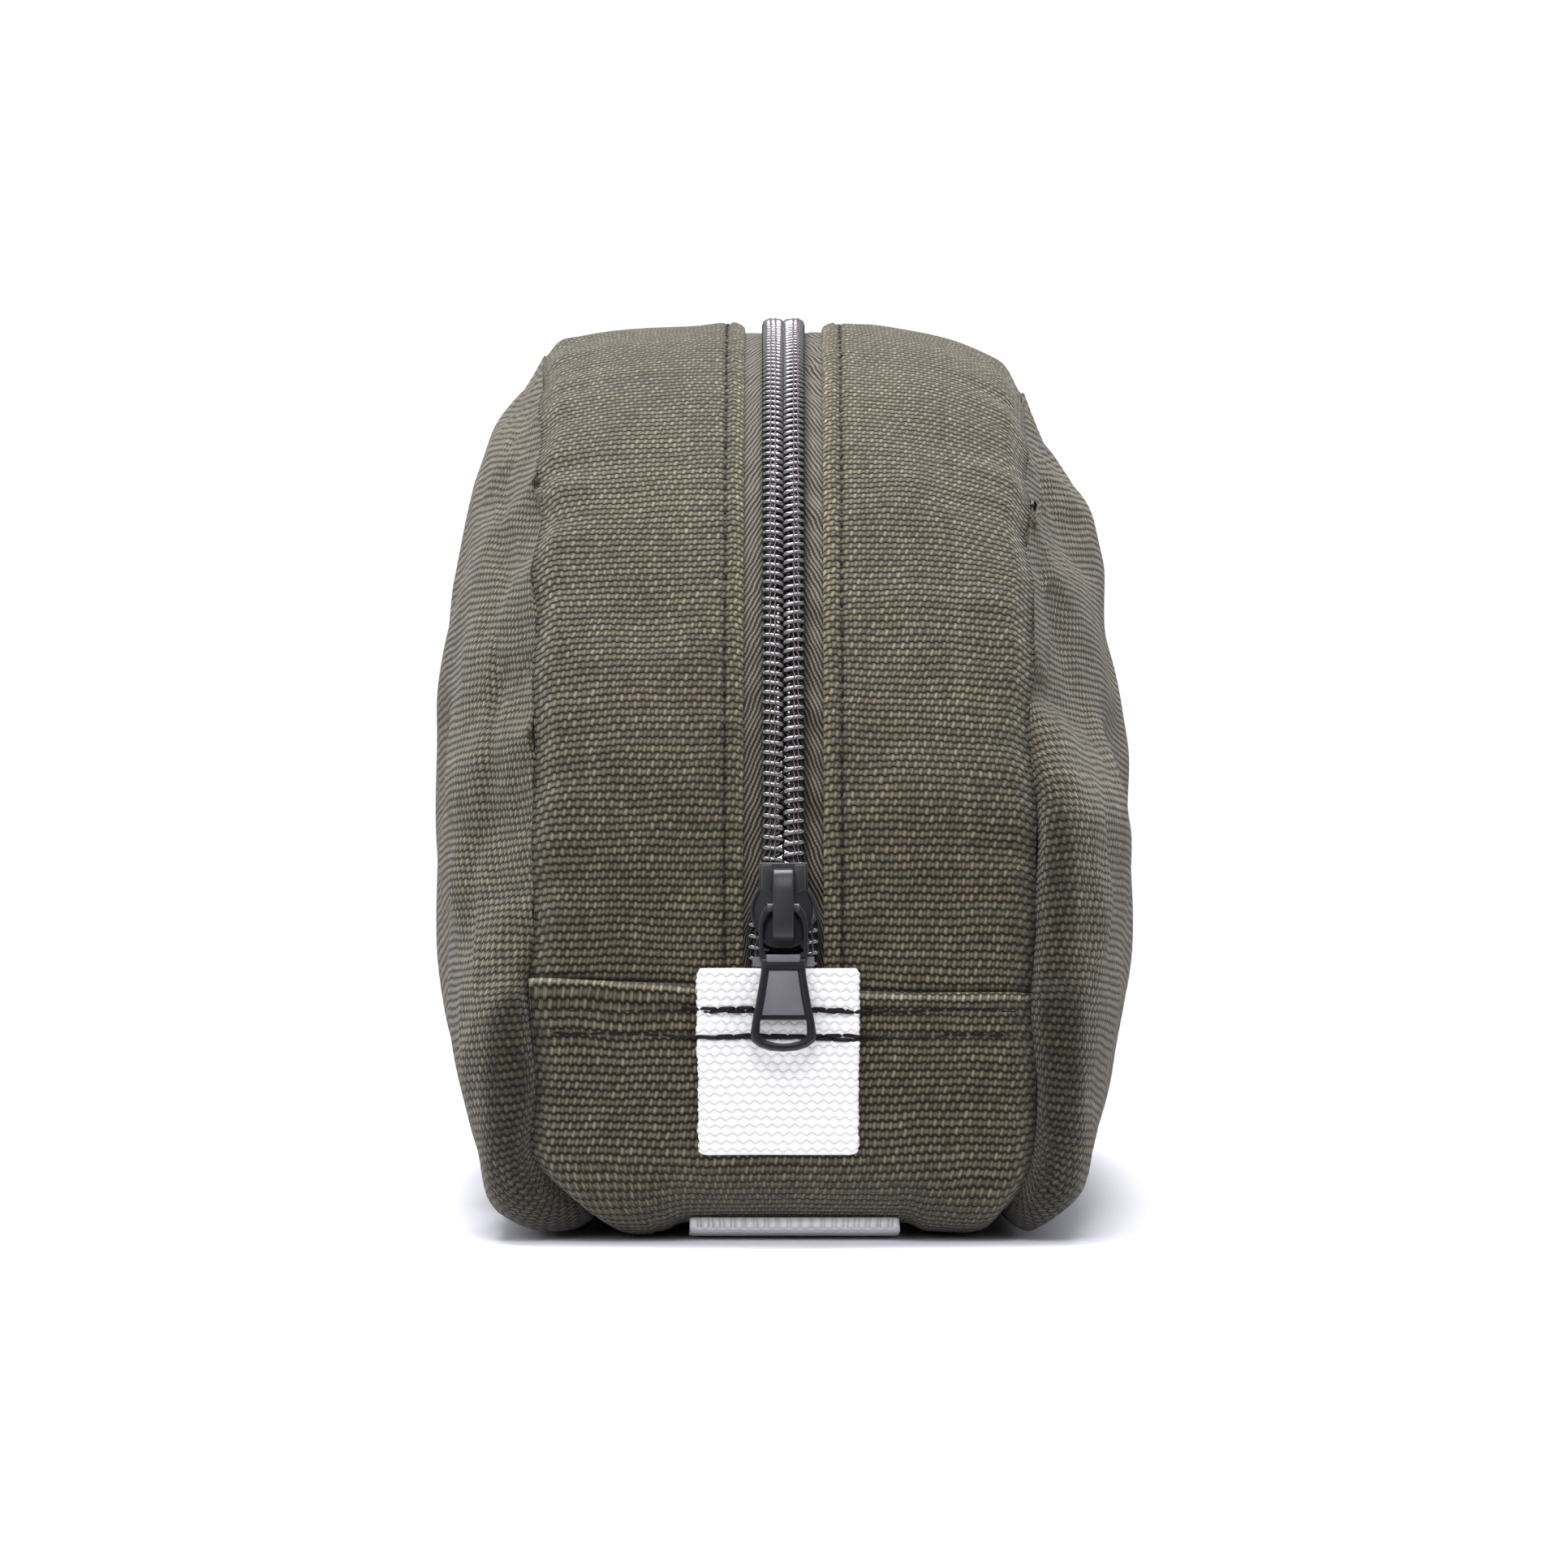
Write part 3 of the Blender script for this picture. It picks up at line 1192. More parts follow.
def zip_coil(side, name, wall):
    offset = PITCH / 2 if side > 0 else 0            # the two coils mesh half a pitch apart
    angle = 2 * pi * np.arange(TURNS * TURN_STEPS + 1) / TURN_STEPS
    head, leg = np.cos(angle), np.sin(angle)         # head at 1, upper leg above 0
    # upper legs lie nearly square across the zip, the lower legs carry the advance
    turn = angle / (2 * pi)
    whole = np.floor(turn + 1e-9)
    part = turn - whole
    lean = np.where(part < 0.5, 0.30 * smooth(part / 0.5),
                    0.30 + 0.70 * smooth((part - 0.5) / 0.5))
    along = COIL_FRONT + offset + PITCH * whole + PITCH * lean
    x = 1.62 - 1.44 * np.sign(head) * np.abs(head) ** 0.80
    out = 0.50 + 0.78 * np.sign(leg) * np.abs(leg) ** 0.62
    path = place(along, side * (x + spread_at(along)), out)
    radii = np.where(leg > -0.2, 0.38, 0.30) + 0.06 * (x < 0.9)
    obj = tube_object(f"zip_coil_nylon_{name}", [(path, radii)], ring=8)
    finish(obj, COIL, [f"zip_coil_{name}"], wall=wall)

    # two sewing threads over every turn
    tubes = []
    along = np.arange(COIL_FRONT, COIL_REAR, PITCH / 8)
    phase = 2 * pi * (along - COIL_FRONT - offset - 0.15 * PITCH) / PITCH
    out = 1.66 - 0.30 * (0.5 - 0.5 * np.cos(phase))
    for x in (1.28, 2.02) if side < 0 else (1.62, 2.28):
        wander = 0.05 * Waves(91 + int(x * 10), 4.0)(along) + 0.09 * np.sin(phase)
        tubes.append((place(along, side * (x + spread_at(along) + wander), out), 0.115))
    obj = tube_object(f"coil_sewing_thread_{name}", tubes)
    finish(obj, COIL_THREAD, wall=wall)


for where in SIDES:
    zip_coil(*where)

# ------------------------------------------------------------------ stitching
STITCH = 2.75                        # stitch length
TAB_LEFT, TAB_RIGHT = -13.2, 11.6    # edges of the grip tabs
# rows across the lap: height, shift along the row, slope, height of the second pass over it
LAP_ROWS = ((ROWS_Z[0], 0, 0, 0.42), (ROWS_Z[1], 0.9, 0.006, -0.35))


def stitch_paths(along, x, out, share, sag, seed):
    """One bent thread per gap between needle holes, filling a share of the gap."""
    draw = np.random.RandomState(seed)
    points = place(along, x, out)
    _, _, norm_y, norm_z = outline(along)
    normals = np.stack([0 * norm_y, norm_y, norm_z], -1)
    paths = []
    for i in range(len(points) - 1):
        start, end = points[i], points[i + 1]
        normal = (normals[i] + normals[i + 1]) / 2
        sideways = np.cross(end - start, normal)
        sideways /= np.linalg.norm(sideways) + 1e-9
        tilt, bow = draw.normal(0, 0.10, 2)
        reach = (end - start) * share / 2
        path = []
        for step in np.linspace(-1, 1, 7):
            lift = sag * (1 - step ** 4) - 0.30 * abs(step) ** 5
            path.append((start + end) / 2 + reach * step
                        + sideways * (tilt * step + 0.25 * bow * (1 - step * step))
                        + normal * lift)
        paths.append(np.array(path))
    return paths


def topstitch(side, name, wall):
    first = arch_along(40.6)
    along = np.arange(first, TOTAL - first, STITCH)
    x = STITCH_X + 0.08 * Waves(99, 40)(along)
    out = gusset_surface(along, x, side) - 0.04
    paths = stitch_paths(along, side * x, out, share=0.62, sag=0.12, seed=7 + side)
    obj = tube_object(f"topstitch_thread_{name}", [(path, 0.19) for path in paths])
    finish(obj, THREAD, [f"zip_topstitch_{name}"], wall=wall)


def tab_surface(x, z):
    """Outward offset of the grip tab's outer face.

    It lies on the lower gusset and hangs free below its stitching.
    """
    x, z = np.broadcast_arrays(np.asarray(x, float), np.asarray(z, float))
    along = arch_along(np.clip(z, 24.5, 41))
    under = np.maximum(np.where(z < LAP_Z, low_surface(along, x), 1.6), 1.9)
    out = under + 1.62 + 0.10 * Waves(112, 11, 12, dims=2)(x, z)
    for row in ROWS_Z:
        out = out - 0.34 * bell(z - row, 0.62)
    # swells above and between the rows
    out = out + 0.20 * bell(z - 39.6, 1.6) + 0.12 * bell(z - 33.8, 1.1)
    return np.minimum(out + 0.25 * smooth((27.0 - z) / 13.0), 4.9)


def lap_stitching(end, name):
    thick, thin = [], []
    for row, (row_z, shift, slope, second) in enumerate(LAP_ROWS):
        for again in range(2):
            # sewn twice over the tab: the second pass wanders off the first
            x = np.arange(-36.0, 36.1, STITCH) + shift + 1.3 * again
            if again:
                x = x[(x > TAB_LEFT - 4.5) & (x < TAB_RIGHT + 4.5)]
            z = row_z + 0.16 * Waves(101 + row + 5 * again, 22)(x)
            z = z - slope * (x - 10) + again * second
            over_tab = (x > TAB_LEFT - 0.2) & (x < TAB_RIGHT + 0.2)
            cloth = low_surface(arch_along(z, ARCH_R + 2), x) - 0.10
            out = np.where(over_tab, tab_surface(x, z) + 0.06, cloth)
            along = arch_along(z, ARCH_R + out)
            if end > 0:
                along = TOTAL - along
            for path in stitch_paths(along, x, out, share=0.97, sag=0.16,
                                     seed=23 + row + 3 * again):
                on_tab = TAB_LEFT - 1.2 < path[:, 0].mean() < TAB_RIGHT + 1.2
                (thick if on_tab else thin).append(path)
    tubes = [(path, 0.31) for path in thick] + [(path, 0.21) for path in thin]
    obj = tube_object(f"lap_stitch_thread_{name}", tubes)
    finish(obj, THREAD, [f"lap_stitching_{name}"], body="base")


for where in SIDES:
    topstitch(*where)
for where in ENDS:
    lap_stitching(*where)

# ------------------------------------------------------------------ grip tabs
TAB_Z, TAB_HALF = 28.3, 14.4         # middle and half of the tab's height
TAB_THICK_HALF = 0.75


def grip_tab(end, name):
    columns, rows = 60, 84
    share, z = np.meshgrid(crowded(columns, 1.4), TAB_Z + TAB_HALF * crowded(rows, 1.25))
    # woven edges: slight waves, a ripple at each weft, and drawn in below
    wave = Waves(111, 4.0, 10)
    ripple = 0.09 * np.sin(z * 2 * pi / 1.05)
    low = smooth((31 - z) / 5)
    left = TAB_LEFT + 0.06 * wave(z + 3) + ripple + 0.25 * low
    right = TAB_RIGHT + 0.06 * wave(z + 40) - ripple - 0.15 * low
    # rounded corners
    to_end = np.minimum(z - (TAB_Z - TAB_HALF), TAB_Z + TAB_HALF - z)
    cut = np.where(z < 28, 1.25, 0.7) * (1 - quarter(to_end / 1.3))
    half = (right - left) / 2
    x = (left + right) / 2 + share * (half - cut)
    rim = (quarter((1 - np.abs(share)) * half / TAB_THICK_HALF)
           * quarter(to_end / TAB_THICK_HALF))
    middle = tab_surface(x, z) - TAB_THICK_HALF
    # follows the arch above its centre and hangs straight below it
    angle = np.arcsin(np.clip((z - ARCH_Z) / (ARCH_R + 3), 0, 1))
    norm_y, norm_z = np.cos(angle), np.sin(angle)
    core_z = np.minimum(z, ARCH_Z) + ARCH_R * norm_z
    verts, uv = [], []
    for face in (1, -1):
        out = middle + face * TAB_THICK_HALF * rim
        face_z = np.maximum(13.85, core_z + norm_z * (out - 3.0))
        face_y = end * (ARCH_R * norm_y + norm_y * out)
        verts.append(np.stack([x, face_y, face_z], -1).reshape(-1, 3))
        uv.append(np.stack([x, z], -1).reshape(-1, 2))
    faces = []
    for layer in (0, 1):
        for i in range(rows - 1):
            for j in range(columns - 1):
                first = layer * columns * rows + i * columns + j
                face = (first, first + 1, first + columns + 1, first + columns)
                faces.append(face[::-1] if layer else face)
    obj = make_object(f"grip_tab_webbing_{name}", np.concatenate(verts), faces,
                      np.concatenate(uv))
    edit = bmesh.new()
    edit.from_mesh(obj.data)
    bmesh.ops.remove_doubles(edit, verts=edit.verts, dist=0.00002)
    open_edges = [edge for edge in edit.edges if edge.is_boundary]
    bmesh.ops.holes_fill(edit, edges=open_edges, sides=0)
    bmesh.ops.recalc_face_normals(edit, faces=edit.faces)
    edit.to_mesh(obj.data)
    edit.free()
    obj.data.shade_smooth()
    finish(obj, WEBBING, [f"{name}_tab_sewn_end", f"{name}_grip_tab"])
    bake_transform(obj, "base", f"{name}_grip_tab", start=(0, end * 0.118, 0.0312),
             end=(0, end * 0.118, 0.0238))


for where in ENDS:
    grip_tab(*where)


# ------------------------------------------------------------------ bottom webbing
def bottom_webbing():
    columns = np.linspace(STRIP_X - STRIP_HALF, STRIP_X + STRIP_HALF, 40)
    both = np.concatenate([columns, columns[::-1]])
    wave = Waves(121, 6, 12)

    def section(along):
        widths, offsets = [], []
        for face, order in ((1, columns), (-1, columns[::-1])):
            for column in order:
                edge = min(1.0, 0.45 + (STRIP_HALF - abs(column - STRIP_X)) / 0.8)
                waver = 0.15 * wave(along) * (1 - edge) if face > 0 else 0 * along
                widths.append(column + waver)
                offsets.append(2.75 + face * 0.80 * quarter(edge) + 0 * along)
        return np.stack(widths, 1), np.stack(offsets, 1), both

    along = np.linspace(107.5, -107.5, 160)
    obj = sweep("bottom_webbing_strip", wrapped(along), section)
    places = mesh_coords(obj.data)
    places[:, 2] = np.maximum(places[:, 2], 0.02)
    set_coords(obj, places)
    continuous_weave(obj)
    finish(obj, WEBBING, ["bottom_webbing"], body="base")


bottom_webbing()

# ------------------------------------------------------------------ zip slider and pull tab
SLIDER_ANGLE = math.radians(13.2)    # above the horizontal, on the front of the arch
SLIDER_OUT = Vector((0, -math.cos(SLIDER_ANGLE), math.sin(SLIDER_ANGLE)))
SLIDER_UP = Vector((0, math.sin(SLIDER_ANGLE), math.cos(SLIDER_ANGLE)))
SLIDER_RIGHT = Vector((1, 0, 0))
SLIDER_FOOT = Vector((0, -ARCH_R * math.cos(SLIDER_ANGLE),
                      ARCH_Z + ARCH_R * math.sin(SLIDER_ANGLE)))


def axes_matrix(first, second, third, origin):
    matrix = Matrix((first, second, third)).transposed().to_4x4()
    matrix.translation = origin
    return matrix


def face_matrix(height):
    """Plates facing outward: outlines are (x, up the zip)."""
    return axes_matrix(SLIDER_RIGHT, SLIDER_UP, SLIDER_OUT, SLIDER_FOOT + SLIDER_OUT * height)


def flank_matrix(x):
    """Plates facing sideways: outlines are (up the zip, outward)."""
    return axes_matrix(SLIDER_UP, SLIDER_OUT, SLIDER_RIGHT, SLIDER_FOOT + SLIDER_RIGHT * x)


def cast(name, loops, low, high, bevel, rounds=3, matrix_of=face_matrix):
    """Plate between two heights with rounded edges: the first loop is its outline, others holes."""
    curve = bpy.data.curves.new(name, "CURVE")
    curve.dimensions = "2D"
    curve.fill_mode = "BOTH"
    for loop in loops:
        spline = curve.splines.new("POLY")
        spline.points.add(len(loop) - 1)
        for point, (x, y) in zip(spline.points, loop):
            point.co = (x, y, 0, 1)
        spline.use_cyclic_u = True
    curve.extrude = max(0.001, (high - low) / 2 - bevel)
    curve.bevel_depth = bevel
    curve.bevel_resolution = rounds
    curve.offset = -bevel
    holder = link_object(name + "_tmp", curve)
    bpy.context.view_layer.update()
    graph = bpy.context.evaluated_depsgraph_get()
    mesh = bpy.data.meshes.new_from_object(holder.evaluated_get(graph))
    bpy.data.objects.remove(holder)
    mesh.transform(matrix_of((low + high) / 2))
    mesh.transform(Matrix.Scale(MILLI, 4))
    edit = bmesh.new()
    edit.from_mesh(mesh)
    bmesh.ops.remove_doubles(edit, verts=edit.verts, dist=0.000004)
    bmesh.ops.recalc_face_normals(edit, faces=edit.faces)
    edit.to_mesh(mesh)
    edit.free()
    return link_object(name, mesh)


def joined(name, parts):
    edit = bmesh.new()
    for part in parts:
        edit.from_mesh(part.data)
    mesh = bpy.data.meshes.new(name)
    edit.to_mesh(mesh)
    edit.free()
    for part in parts:
        bpy.data.objects.remove(part)
    return link_object(name, mesh)


def shade_by_angle(obj):
    """Smooth shading with edges kept sharp above 38 degrees."""
    obj.data.shade_smooth()
    edit = bmesh.new()
    edit.from_mesh(obj.data)
    limit = math.radians(38)
    for edge in edit.edges:
        edge.smooth = not (len(edge.link_faces) == 2 and edge.calc_face_angle(0) > limit)
    edit.to_mesh(obj.data)
    edit.free()


def mirrored(half):
    """The loop made of half an outline and its mirror image in x = 0."""
    return half + [(-x, y) for x, y in half[::-1] if x != 0]


def mirrored_from_left(half):
    """The same loop, started one point earlier, at the mirror image of its first point."""
    loop = mirrored(half)
    return loop[-1:] + loop[:-1]


# right halves of the outlines, (x, up the zip)
PLATE = [(3.7, 7.4), (3.72, 4.7), (3.9, 3.5), (4.5, 2.3), (4.95, 1.1), (5.08, -0.3),
         (4.95, -1.4), (4.5, -2.3), (3.9, -3.3), (3.35, -4.4), (2.5, -5.3), (1.2, -5.8)]
WEDGE = [(0.32, -2.2), (0.9, -5.5)]
# parts on each side of the slider: name, outline, low, high, bevel
SLIDER_EDGES = (
    ("flange", [(3.35, 6.9), (3.68, 6.9), (3.72, 4.7), (3.9, 3.5), (4.5, 2.3), (4.95, 1.1),
                (5.05, -0.3), (4.9, -1.2), (4.45, -1.3), (4.45, -0.1), (4.2, 1.2), (3.75, 2.4),
                (3.4, 3.8)], -0.5, 2.4, 0.12),
    # raised shoulder on the upper face
    ("rim", [(3.85, 3.5), (4.45, 2.3), (4.92, 1.1), (5.05, -0.3), (4.9, -1.5), (4.45, -2.3),
             (4.15, -1.9), (4.45, -1.1), (4.5, -0.2), (4.4, 0.8), (4.05, 1.9), (3.6, 3.0)],
     2.9, 3.62, 0.16),
    # low ramp beside the crown
    ("ramp", [(1.75, 7.0), (3.35, 7.0), (3.4, 3.1), (1.75, 2.6)], 2.9, 3.36, 0.16),
)
# arched bridge over the slider, (up the zip, outward)
CROWN = [(-5.2, 3.05), (-5.15, 4.4), (-4.95, 5.4), (-4.5, 6.1), (-3.7, 6.5), (-2.0, 6.68),
         (2.6, 6.62), (4.6, 6.3), (5.5, 5.9), (6.0, 5.2), (6.2, 4.3), (6.25, 3.05),
         (5.2, 3.05), (4.9, 4.5), (3.6, 5.4), (2.6, 5.62), (-2.6, 5.62), (-3.6, 5.4),
         (-4.1, 4.6), (-4.25, 3.05)]
BLADE = [(1.5, 0.8), (2.6, 0.35), (3.3, -0.6), (3.68, -1.9), (3.78, -3.4), (3.75, -6.6),
         (3.55, -7.6), (3.35, -8.6), (3.4, -10.0), (4.0, -13.6), (4.75, -17.6), (5.0, -19.3),
         (4.75, -20.5), (3.6, -21.35), (2.0, -21.85), (0, -22.0)]
# left half of the upper hole
EYE = [(-1.75, -0.75), (-2.45, -1.6), (-2.85, -2.6), (-2.95, -3.6), (-2.95, -6.95),
       (-2.7, -7.15)]
WINDOW = [(3.35, -17.15), (3.5, -17.35), (3.58, -19.2), (3.3, -19.9), (2.4, -20.45),
          (1.2, -20.75), (0, -20.85)]
FRAME_OUTER = [(3.35, -8.0), (3.3, -10.0), (3.9, -13.6), (4.65, -17.6), (4.88, -19.3),
               (4.62, -20.4), (3.5, -21.2), (1.9, -21.7), (0, -21.85)]
FRAME_INNER = [(2.35, -9.6), (2.35, -10.2), (2.9, -13.6), (3.45, -16.6), (3.95, -19.2),
               (3.7, -20.15), (2.8, -20.7), (1.4, -21.02), (0, -21.1)]
PANEL = [(2.2, -9.7), (2.75, -13.6), (3.25, -16.55)]
RIDGE = [(2.6, -7.25), (2.5, -8.4)]
BAR_OUT = 4.60                       # height of the pull tab's bar above the arch


def slider_body():
    plate = mirrored_from_left(PLATE)
    parts = [cast("top_plate", [plate], 1.95, 3.15, bevel=0.28),
             cast("low_plate", [plate], -2.75, -1.75, bevel=0.25)]
    for side in (-1, 1):
        for name, loop, low, high, bevel in SLIDER_EDGES:
            loop = [(side * x, y) for x, y in loop]
            parts.append(cast(name, [loop], low, high, bevel, rounds=2))
    parts.append(cast("wedge", [mirrored_from_left(WEDGE)], -1.9, 2.2, bevel=0.08, rounds=1))
    obj = joined("slider_body_casting", parts)
    shade_by_angle(obj)
    finish(obj, METAL, ["slider_body"], body="zip_slider")


def slider_crown():
    obj = cast("slider_crown_casting", [CROWN], -1.6, 1.6, bevel=0.30, matrix_of=flank_matrix)
    shade_by_angle(obj)
    finish(obj, METAL, ["slider_crown"], body="zip_slider")


def pull_tab():
    raised = BAR_OUT + 0.3
    blade = [mirrored_from_left(BLADE), mirrored(EYE), mirrored_from_left(WINDOW)]
    rim = [mirrored(FRAME_OUTER), mirrored(FRAME_INNER)]
    bar = [tuple(SLIDER_FOOT + SLIDER_OUT * BAR_OUT + SLIDER_RIGHT * x)
           for x in np.linspace(-2.4, 2.4, 9)]
    parts = [
        cast("blade", blade, BAR_OUT - 0.8, BAR_OUT + 0.55, bevel=0.28),
        cast("frame", rim, raised, BAR_OUT + 0.86, bevel=0.2),
        cast("panel", [mirrored_from_left(PANEL)], raised, BAR_OUT + 0.72, bevel=0.14, rounds=2),
        cast("ridge", [mirrored_from_left(RIDGE)], raised, BAR_OUT + 0.95, bevel=0.18, rounds=2),
        tube_object("bar", [(bar, 0.78)], ring=16)]
    # the panel and the ridge are of paler metal
    pale = np.repeat([0, 0, 1, 1, 0], [len(part.data.polygons) for part in parts])
    obj = joined("pull_tab_casting", parts)
    fix_normals(obj)
    shade_by_angle(obj)
    finish(obj, METAL, ["pull_tab"], body="pull_tab")
    obj.data.materials.append(PALE_METAL)
    obj.data.polygons.foreach_set("material_index", pale.astype(np.int32))


slider_body()
slider_crown()
pull_tab()

# pieces that keep their CAD shape
for node, look in (("lock_pawl", METAL), ("zip_top_stops", COIL), ("zip_bottom_stop", METAL)):
    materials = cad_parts[node].data.materials
    materials.clear()
    materials.append(look[0])


# ------------------------------------------------------------------ linings and seam bindings
def sheet_band(name, x_range, out_range, along, columns, fall=None):
    """Flat band along the outline. fall(along, x) lowers it where it is below 0."""
    across = np.linspace(*x_range, columns)
    across = np.concatenate([across, across[::-1]])

    def section(along):
        x = np.repeat(across[None], len(along), 0)
        inner, outer = out_range
        out = np.repeat(np.repeat([outer, inner], columns)[None], len(along), 0)
        if fall is not None:
            out = out + np.minimum(0, np.stack([fall(along, column) for column in across], 1))
        return x, out, across

    return sweep(name, wrapped(along), section)


def seam_binding(side, name, wall):
    obj = sheet_band(f"seam_binding_tape_{name}", (side * 34.4, side * 36.2), (-8.5, -3.6),
                     np.linspace(0.0, TOTAL - 0.01, 300), 4,
                     fall=lambda along, x: seam_depth(along, side) + 1.0)
    finish(obj, BINDING, [f"seam_binding_{name}"], wall=wall)
    # follows the seam where it draws in
    places = mesh_coords(obj.data)
    along = rim_beside(places[:, 1], places[:, 2])[1]
    places[:, 0] -= side * np.maximum(0, SEAM_HALF - seam_half(along, side))
    places[:, 2] = np.maximum(places[:, 2], 3.4)
    set_coords(obj, places)


def side_linings(side, name, wall):
    obj = sheet_band(f"gusset_lining_cloth_{name}", (side * 15.0, side * 35.0), (-4.0, -3.5),
                     np.linspace(ZIP_FRONT, ZIP_REAR, 160), 10,
                     fall=lambda along, x: -tuck(along, x, side))
    finish(obj, LINING, [f"gusset_lining_{name}"], wall=wall)
    seam_binding(side, name, wall)
    cells = 40
    rho, phi = panel_grid(cells)
    points, uv, _ = panel_points(rho * 0.93, phi, side, inward=6.5, bulge=0.92, roll=0.0)
    faces = grid_faces(cells + 1, cells + 1, flip=side > 0)
    obj = make_object(f"side_lining_cloth_{name}", points, faces, uv)
    thicken(obj, 0.5)
    finish(obj, LINING, [f"side_lining_{name}"], wall=wall)


lower_lining = sheet_band("lower_lining_cloth", (-35.0, 35.0), (-3.4, -2.9),
                          np.linspace(LAP_ALONG - 11, -LAP_ALONG + 11, 120), 10)
finish(lower_lining, LINING, ["lower_gusset_lining"], body="base")
for where in SIDES:
    side_linings(*where)


# ------------------------------------------------------------------ cable loops and slip pocket
def wall_patch(name, side, size, cells, inward, thick, look, node, bow=None):
    """Sheet inside a side wall. size is (y, z) half length, bottom and top; bow stands it off."""
    half_length, bottom, top = size
    rows, columns = cells
    y, z = np.meshgrid(np.linspace(-half_length, half_length, rows),
                       np.linspace(bottom, top, columns), indexing="ij")
    y, z = y.ravel(), z.ravel()
    angle, _, rim, radius = rim_beside(y, z)
    points, _, _ = panel_points(radius / rim, angle, side, inward=inward, bulge=0.92, roll=0.0)
    x = np.abs(points[:, 0])
    if bow is not None:
        x = x - bow(y, z)
    obj = make_object(name, np.stack([side * x, y, z], -1), grid_faces(rows, columns),
                      np.stack([y, z], -1))
    thicken(obj, thick, offset=0)
    finish(obj, look, [node], wall="left_wall" if side < 0 else "right_wall")


def loop_bow(y, z):
    """Six loops side by side."""
    return 3.2 * np.abs(np.sin((y + 72.5) / 24.17 * pi)) ** 0.7


def pocket_bow(y, z):
    return 2.0 * smooth((z - 20) / 50) * np.cos(np.clip(y / 72, -1, 1) * pi / 2)


wall_patch("elastic_backing_strip", -1, (76, 56, 82), cells=(80, 12), inward=7.6, thick=0.9,
           look=ELASTIC, node="elastic_backing")
wall_patch("elastic_loops_strip", -1, (72.5, 58, 80), cells=(140, 12), inward=8.8, thick=1.0,
           look=ELASTIC, node="elastic_cable_loops", bow=loop_bow)
wall_patch("slip_pocket_cloth", 1, (70, 20, 74), cells=(70, 24), inward=7.6, thick=0.7,
           look=LINING, node="slip_pocket", bow=pocket_bow)
wall_patch("slip_pocket_edge", 1, (70, 70, 76), cells=(70, 5), inward=8.4, thick=1.0,
           look=BINDING, node="slip_pocket_binding", bow=pocket_bow)


# ------------------------------------------------------------------ floor, world, lights, camera
# From here on lengths are in metres.
def floor_material():
    """Plain white a little way off, a soft contact shadow close to the pouch."""
    graph = new_graph("pale_floor")
    x, y, _ = graph.separate(graph.add("ShaderNodeNewGeometry", output="Position"))
    beside = (abs(x) - 0.046).at_least(0.0)          # distances from the pouch's footprint
    beyond = (abs(y) - 0.100).at_least(0.0)
    away = (beside * beside + beyond * beyond).sqrt()
    far = graph.math("DIVIDE", away - 0.002, 0.10, clamp=True) ** 1.15
    paper = graph.add("ShaderNodeBsdfDiffuse", {0: (0.80, 0.795, 0.86)})
    glow = graph.add("ShaderNodeEmission", {"Color": (1, 1, 1), "Strength": 1.02})
    mixed = graph.add("ShaderNodeMixShader", {0: far, 1: paper, 2: glow})
    graph.link(mixed, graph.output.inputs[0])
    return graph.owner


def make_floor():
    half = 6.0
    mesh = bpy.data.meshes.new("floor")
    corners = [(-half, -half, 0), (half, -half, 0), (half, half, 0), (-half, half, 0)]
    mesh.from_pydata(corners, [], [(0, 1, 2, 3)])
    floor = link_object("floor", mesh)
    mesh.materials.append(floor_material())


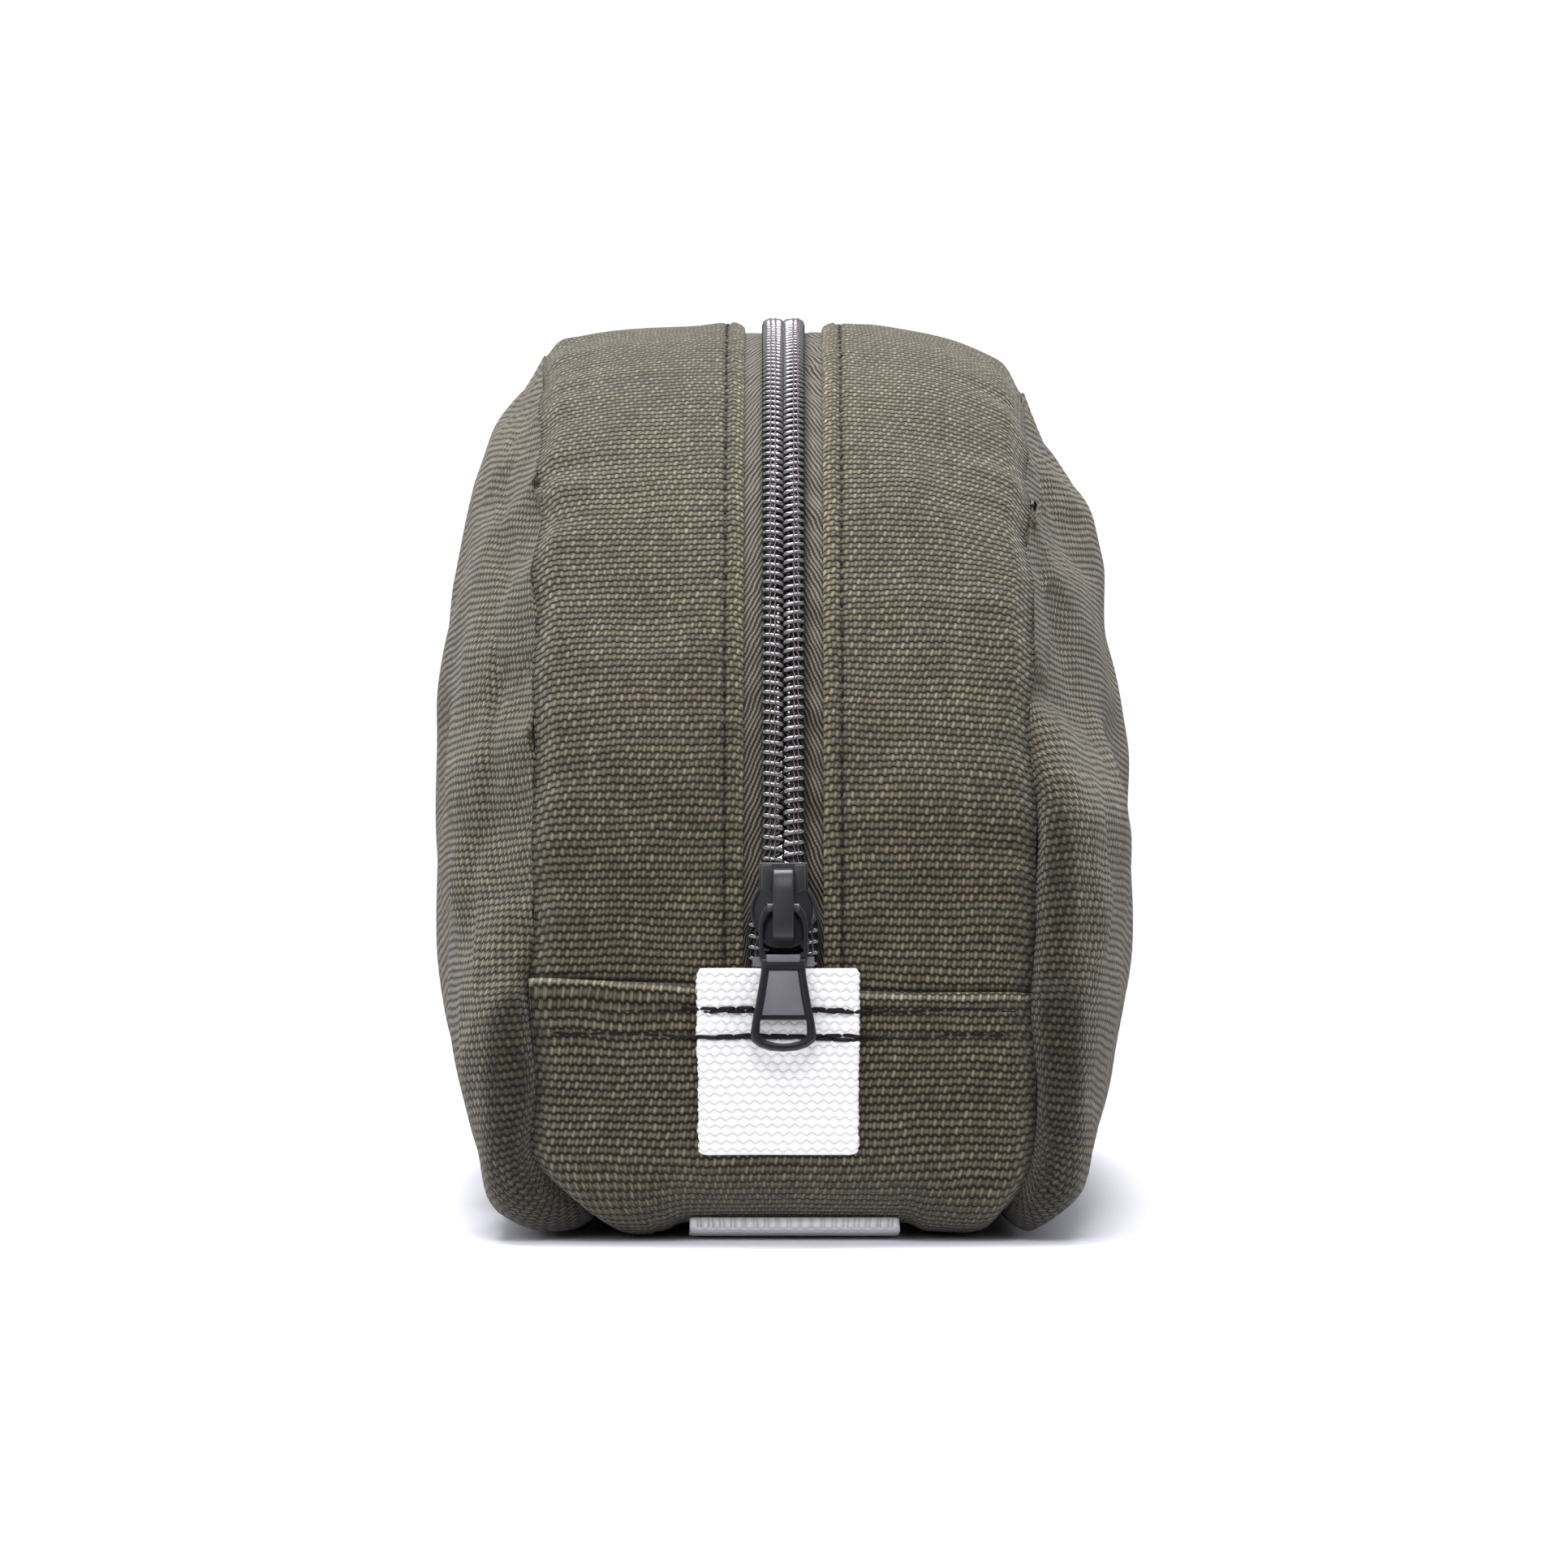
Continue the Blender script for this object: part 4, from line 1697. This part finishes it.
def make_world():
    """Light that brightens upwards, and plain white where the camera sees it."""
    world = bpy.data.worlds.new("studio")
    scene.world = world
    graph = Graph(world, "ShaderNodeOutputWorld")
    height = graph.separate(graph.add("ShaderNodeTexCoord", output="Generated"))[2]
    strength = graph.add("ShaderNodeMapRange", {
        "Value": height, "From Min": -0.15, "From Max": 0.85, "To Min": 0.36, "To Max": 0.95},
        interpolation_type="SMOOTHSTEP")
    sky = graph.add("ShaderNodeBackground", {"Color": (0.93, 0.95, 1.0), "Strength": strength})
    white = graph.add("ShaderNodeBackground", {"Color": (1, 1, 1), "Strength": 1.05})
    seen = graph.add("ShaderNodeLightPath", output="Is Camera Ray")
    mixed = graph.add("ShaderNodeMixShader", {0: seen, 1: sky, 2: white})
    graph.link(mixed, graph.output.inputs[0])


def aim(obj, location, target):
    obj.location = location
    obj.rotation_mode = "QUATERNION"
    obj.rotation_quaternion = (Vector(target) - Vector(location)).to_track_quat("-Z", "Y")


def area_light(name, location, target, size, power):
    light = bpy.data.lights.new(name, "AREA")
    light.shape = "RECTANGLE"
    light.size, light.size_y = size
    light.energy = power
    aim(link_object(name, light), location, target)


def make_camera():
    data = bpy.data.cameras.new("camera")
    camera = link_object("camera", data)
    data.sensor_width = 36.0
    data.lens = 285.1863354
    data.clip_start = 0.01
    data.clip_end = 50
    pitch_down = math.radians(2.253)
    location = Vector((0.0001, -2.0, 0.1443))
    aim(camera, location, location + Vector((0, math.cos(pitch_down), -math.sin(pitch_down))))
    scene.camera = camera


make_floor()
make_world()
area_light("key_top", (-0.08, 0.22, 1.35), target=(0, 0, 0.05), size=(0.95, 0.75), power=33.0)
area_light("fill_front", (-0.5, -1.5, 0.75), target=(0, 0, 0.07), size=(1.0, 0.8), power=3.0)
area_light("strip_glint", (0.0, -1.1, 1.25), target=(0, -0.1, 0.09), size=(0.4, 0.30), power=6.0)
area_light("fill_right", (1.2, -0.6, 0.16), target=(0, 0, 0.05), size=(0.7, 0.5), power=0.9)
area_light("fill_left", (-1.2, -0.2, 0.55), target=(0, 0, 0.07), size=(0.7, 0.7), power=2.2)
make_camera()
scene.view_settings.view_transform = "Standard"
scene.view_settings.look = "None"
scene.view_settings.exposure = 0.0
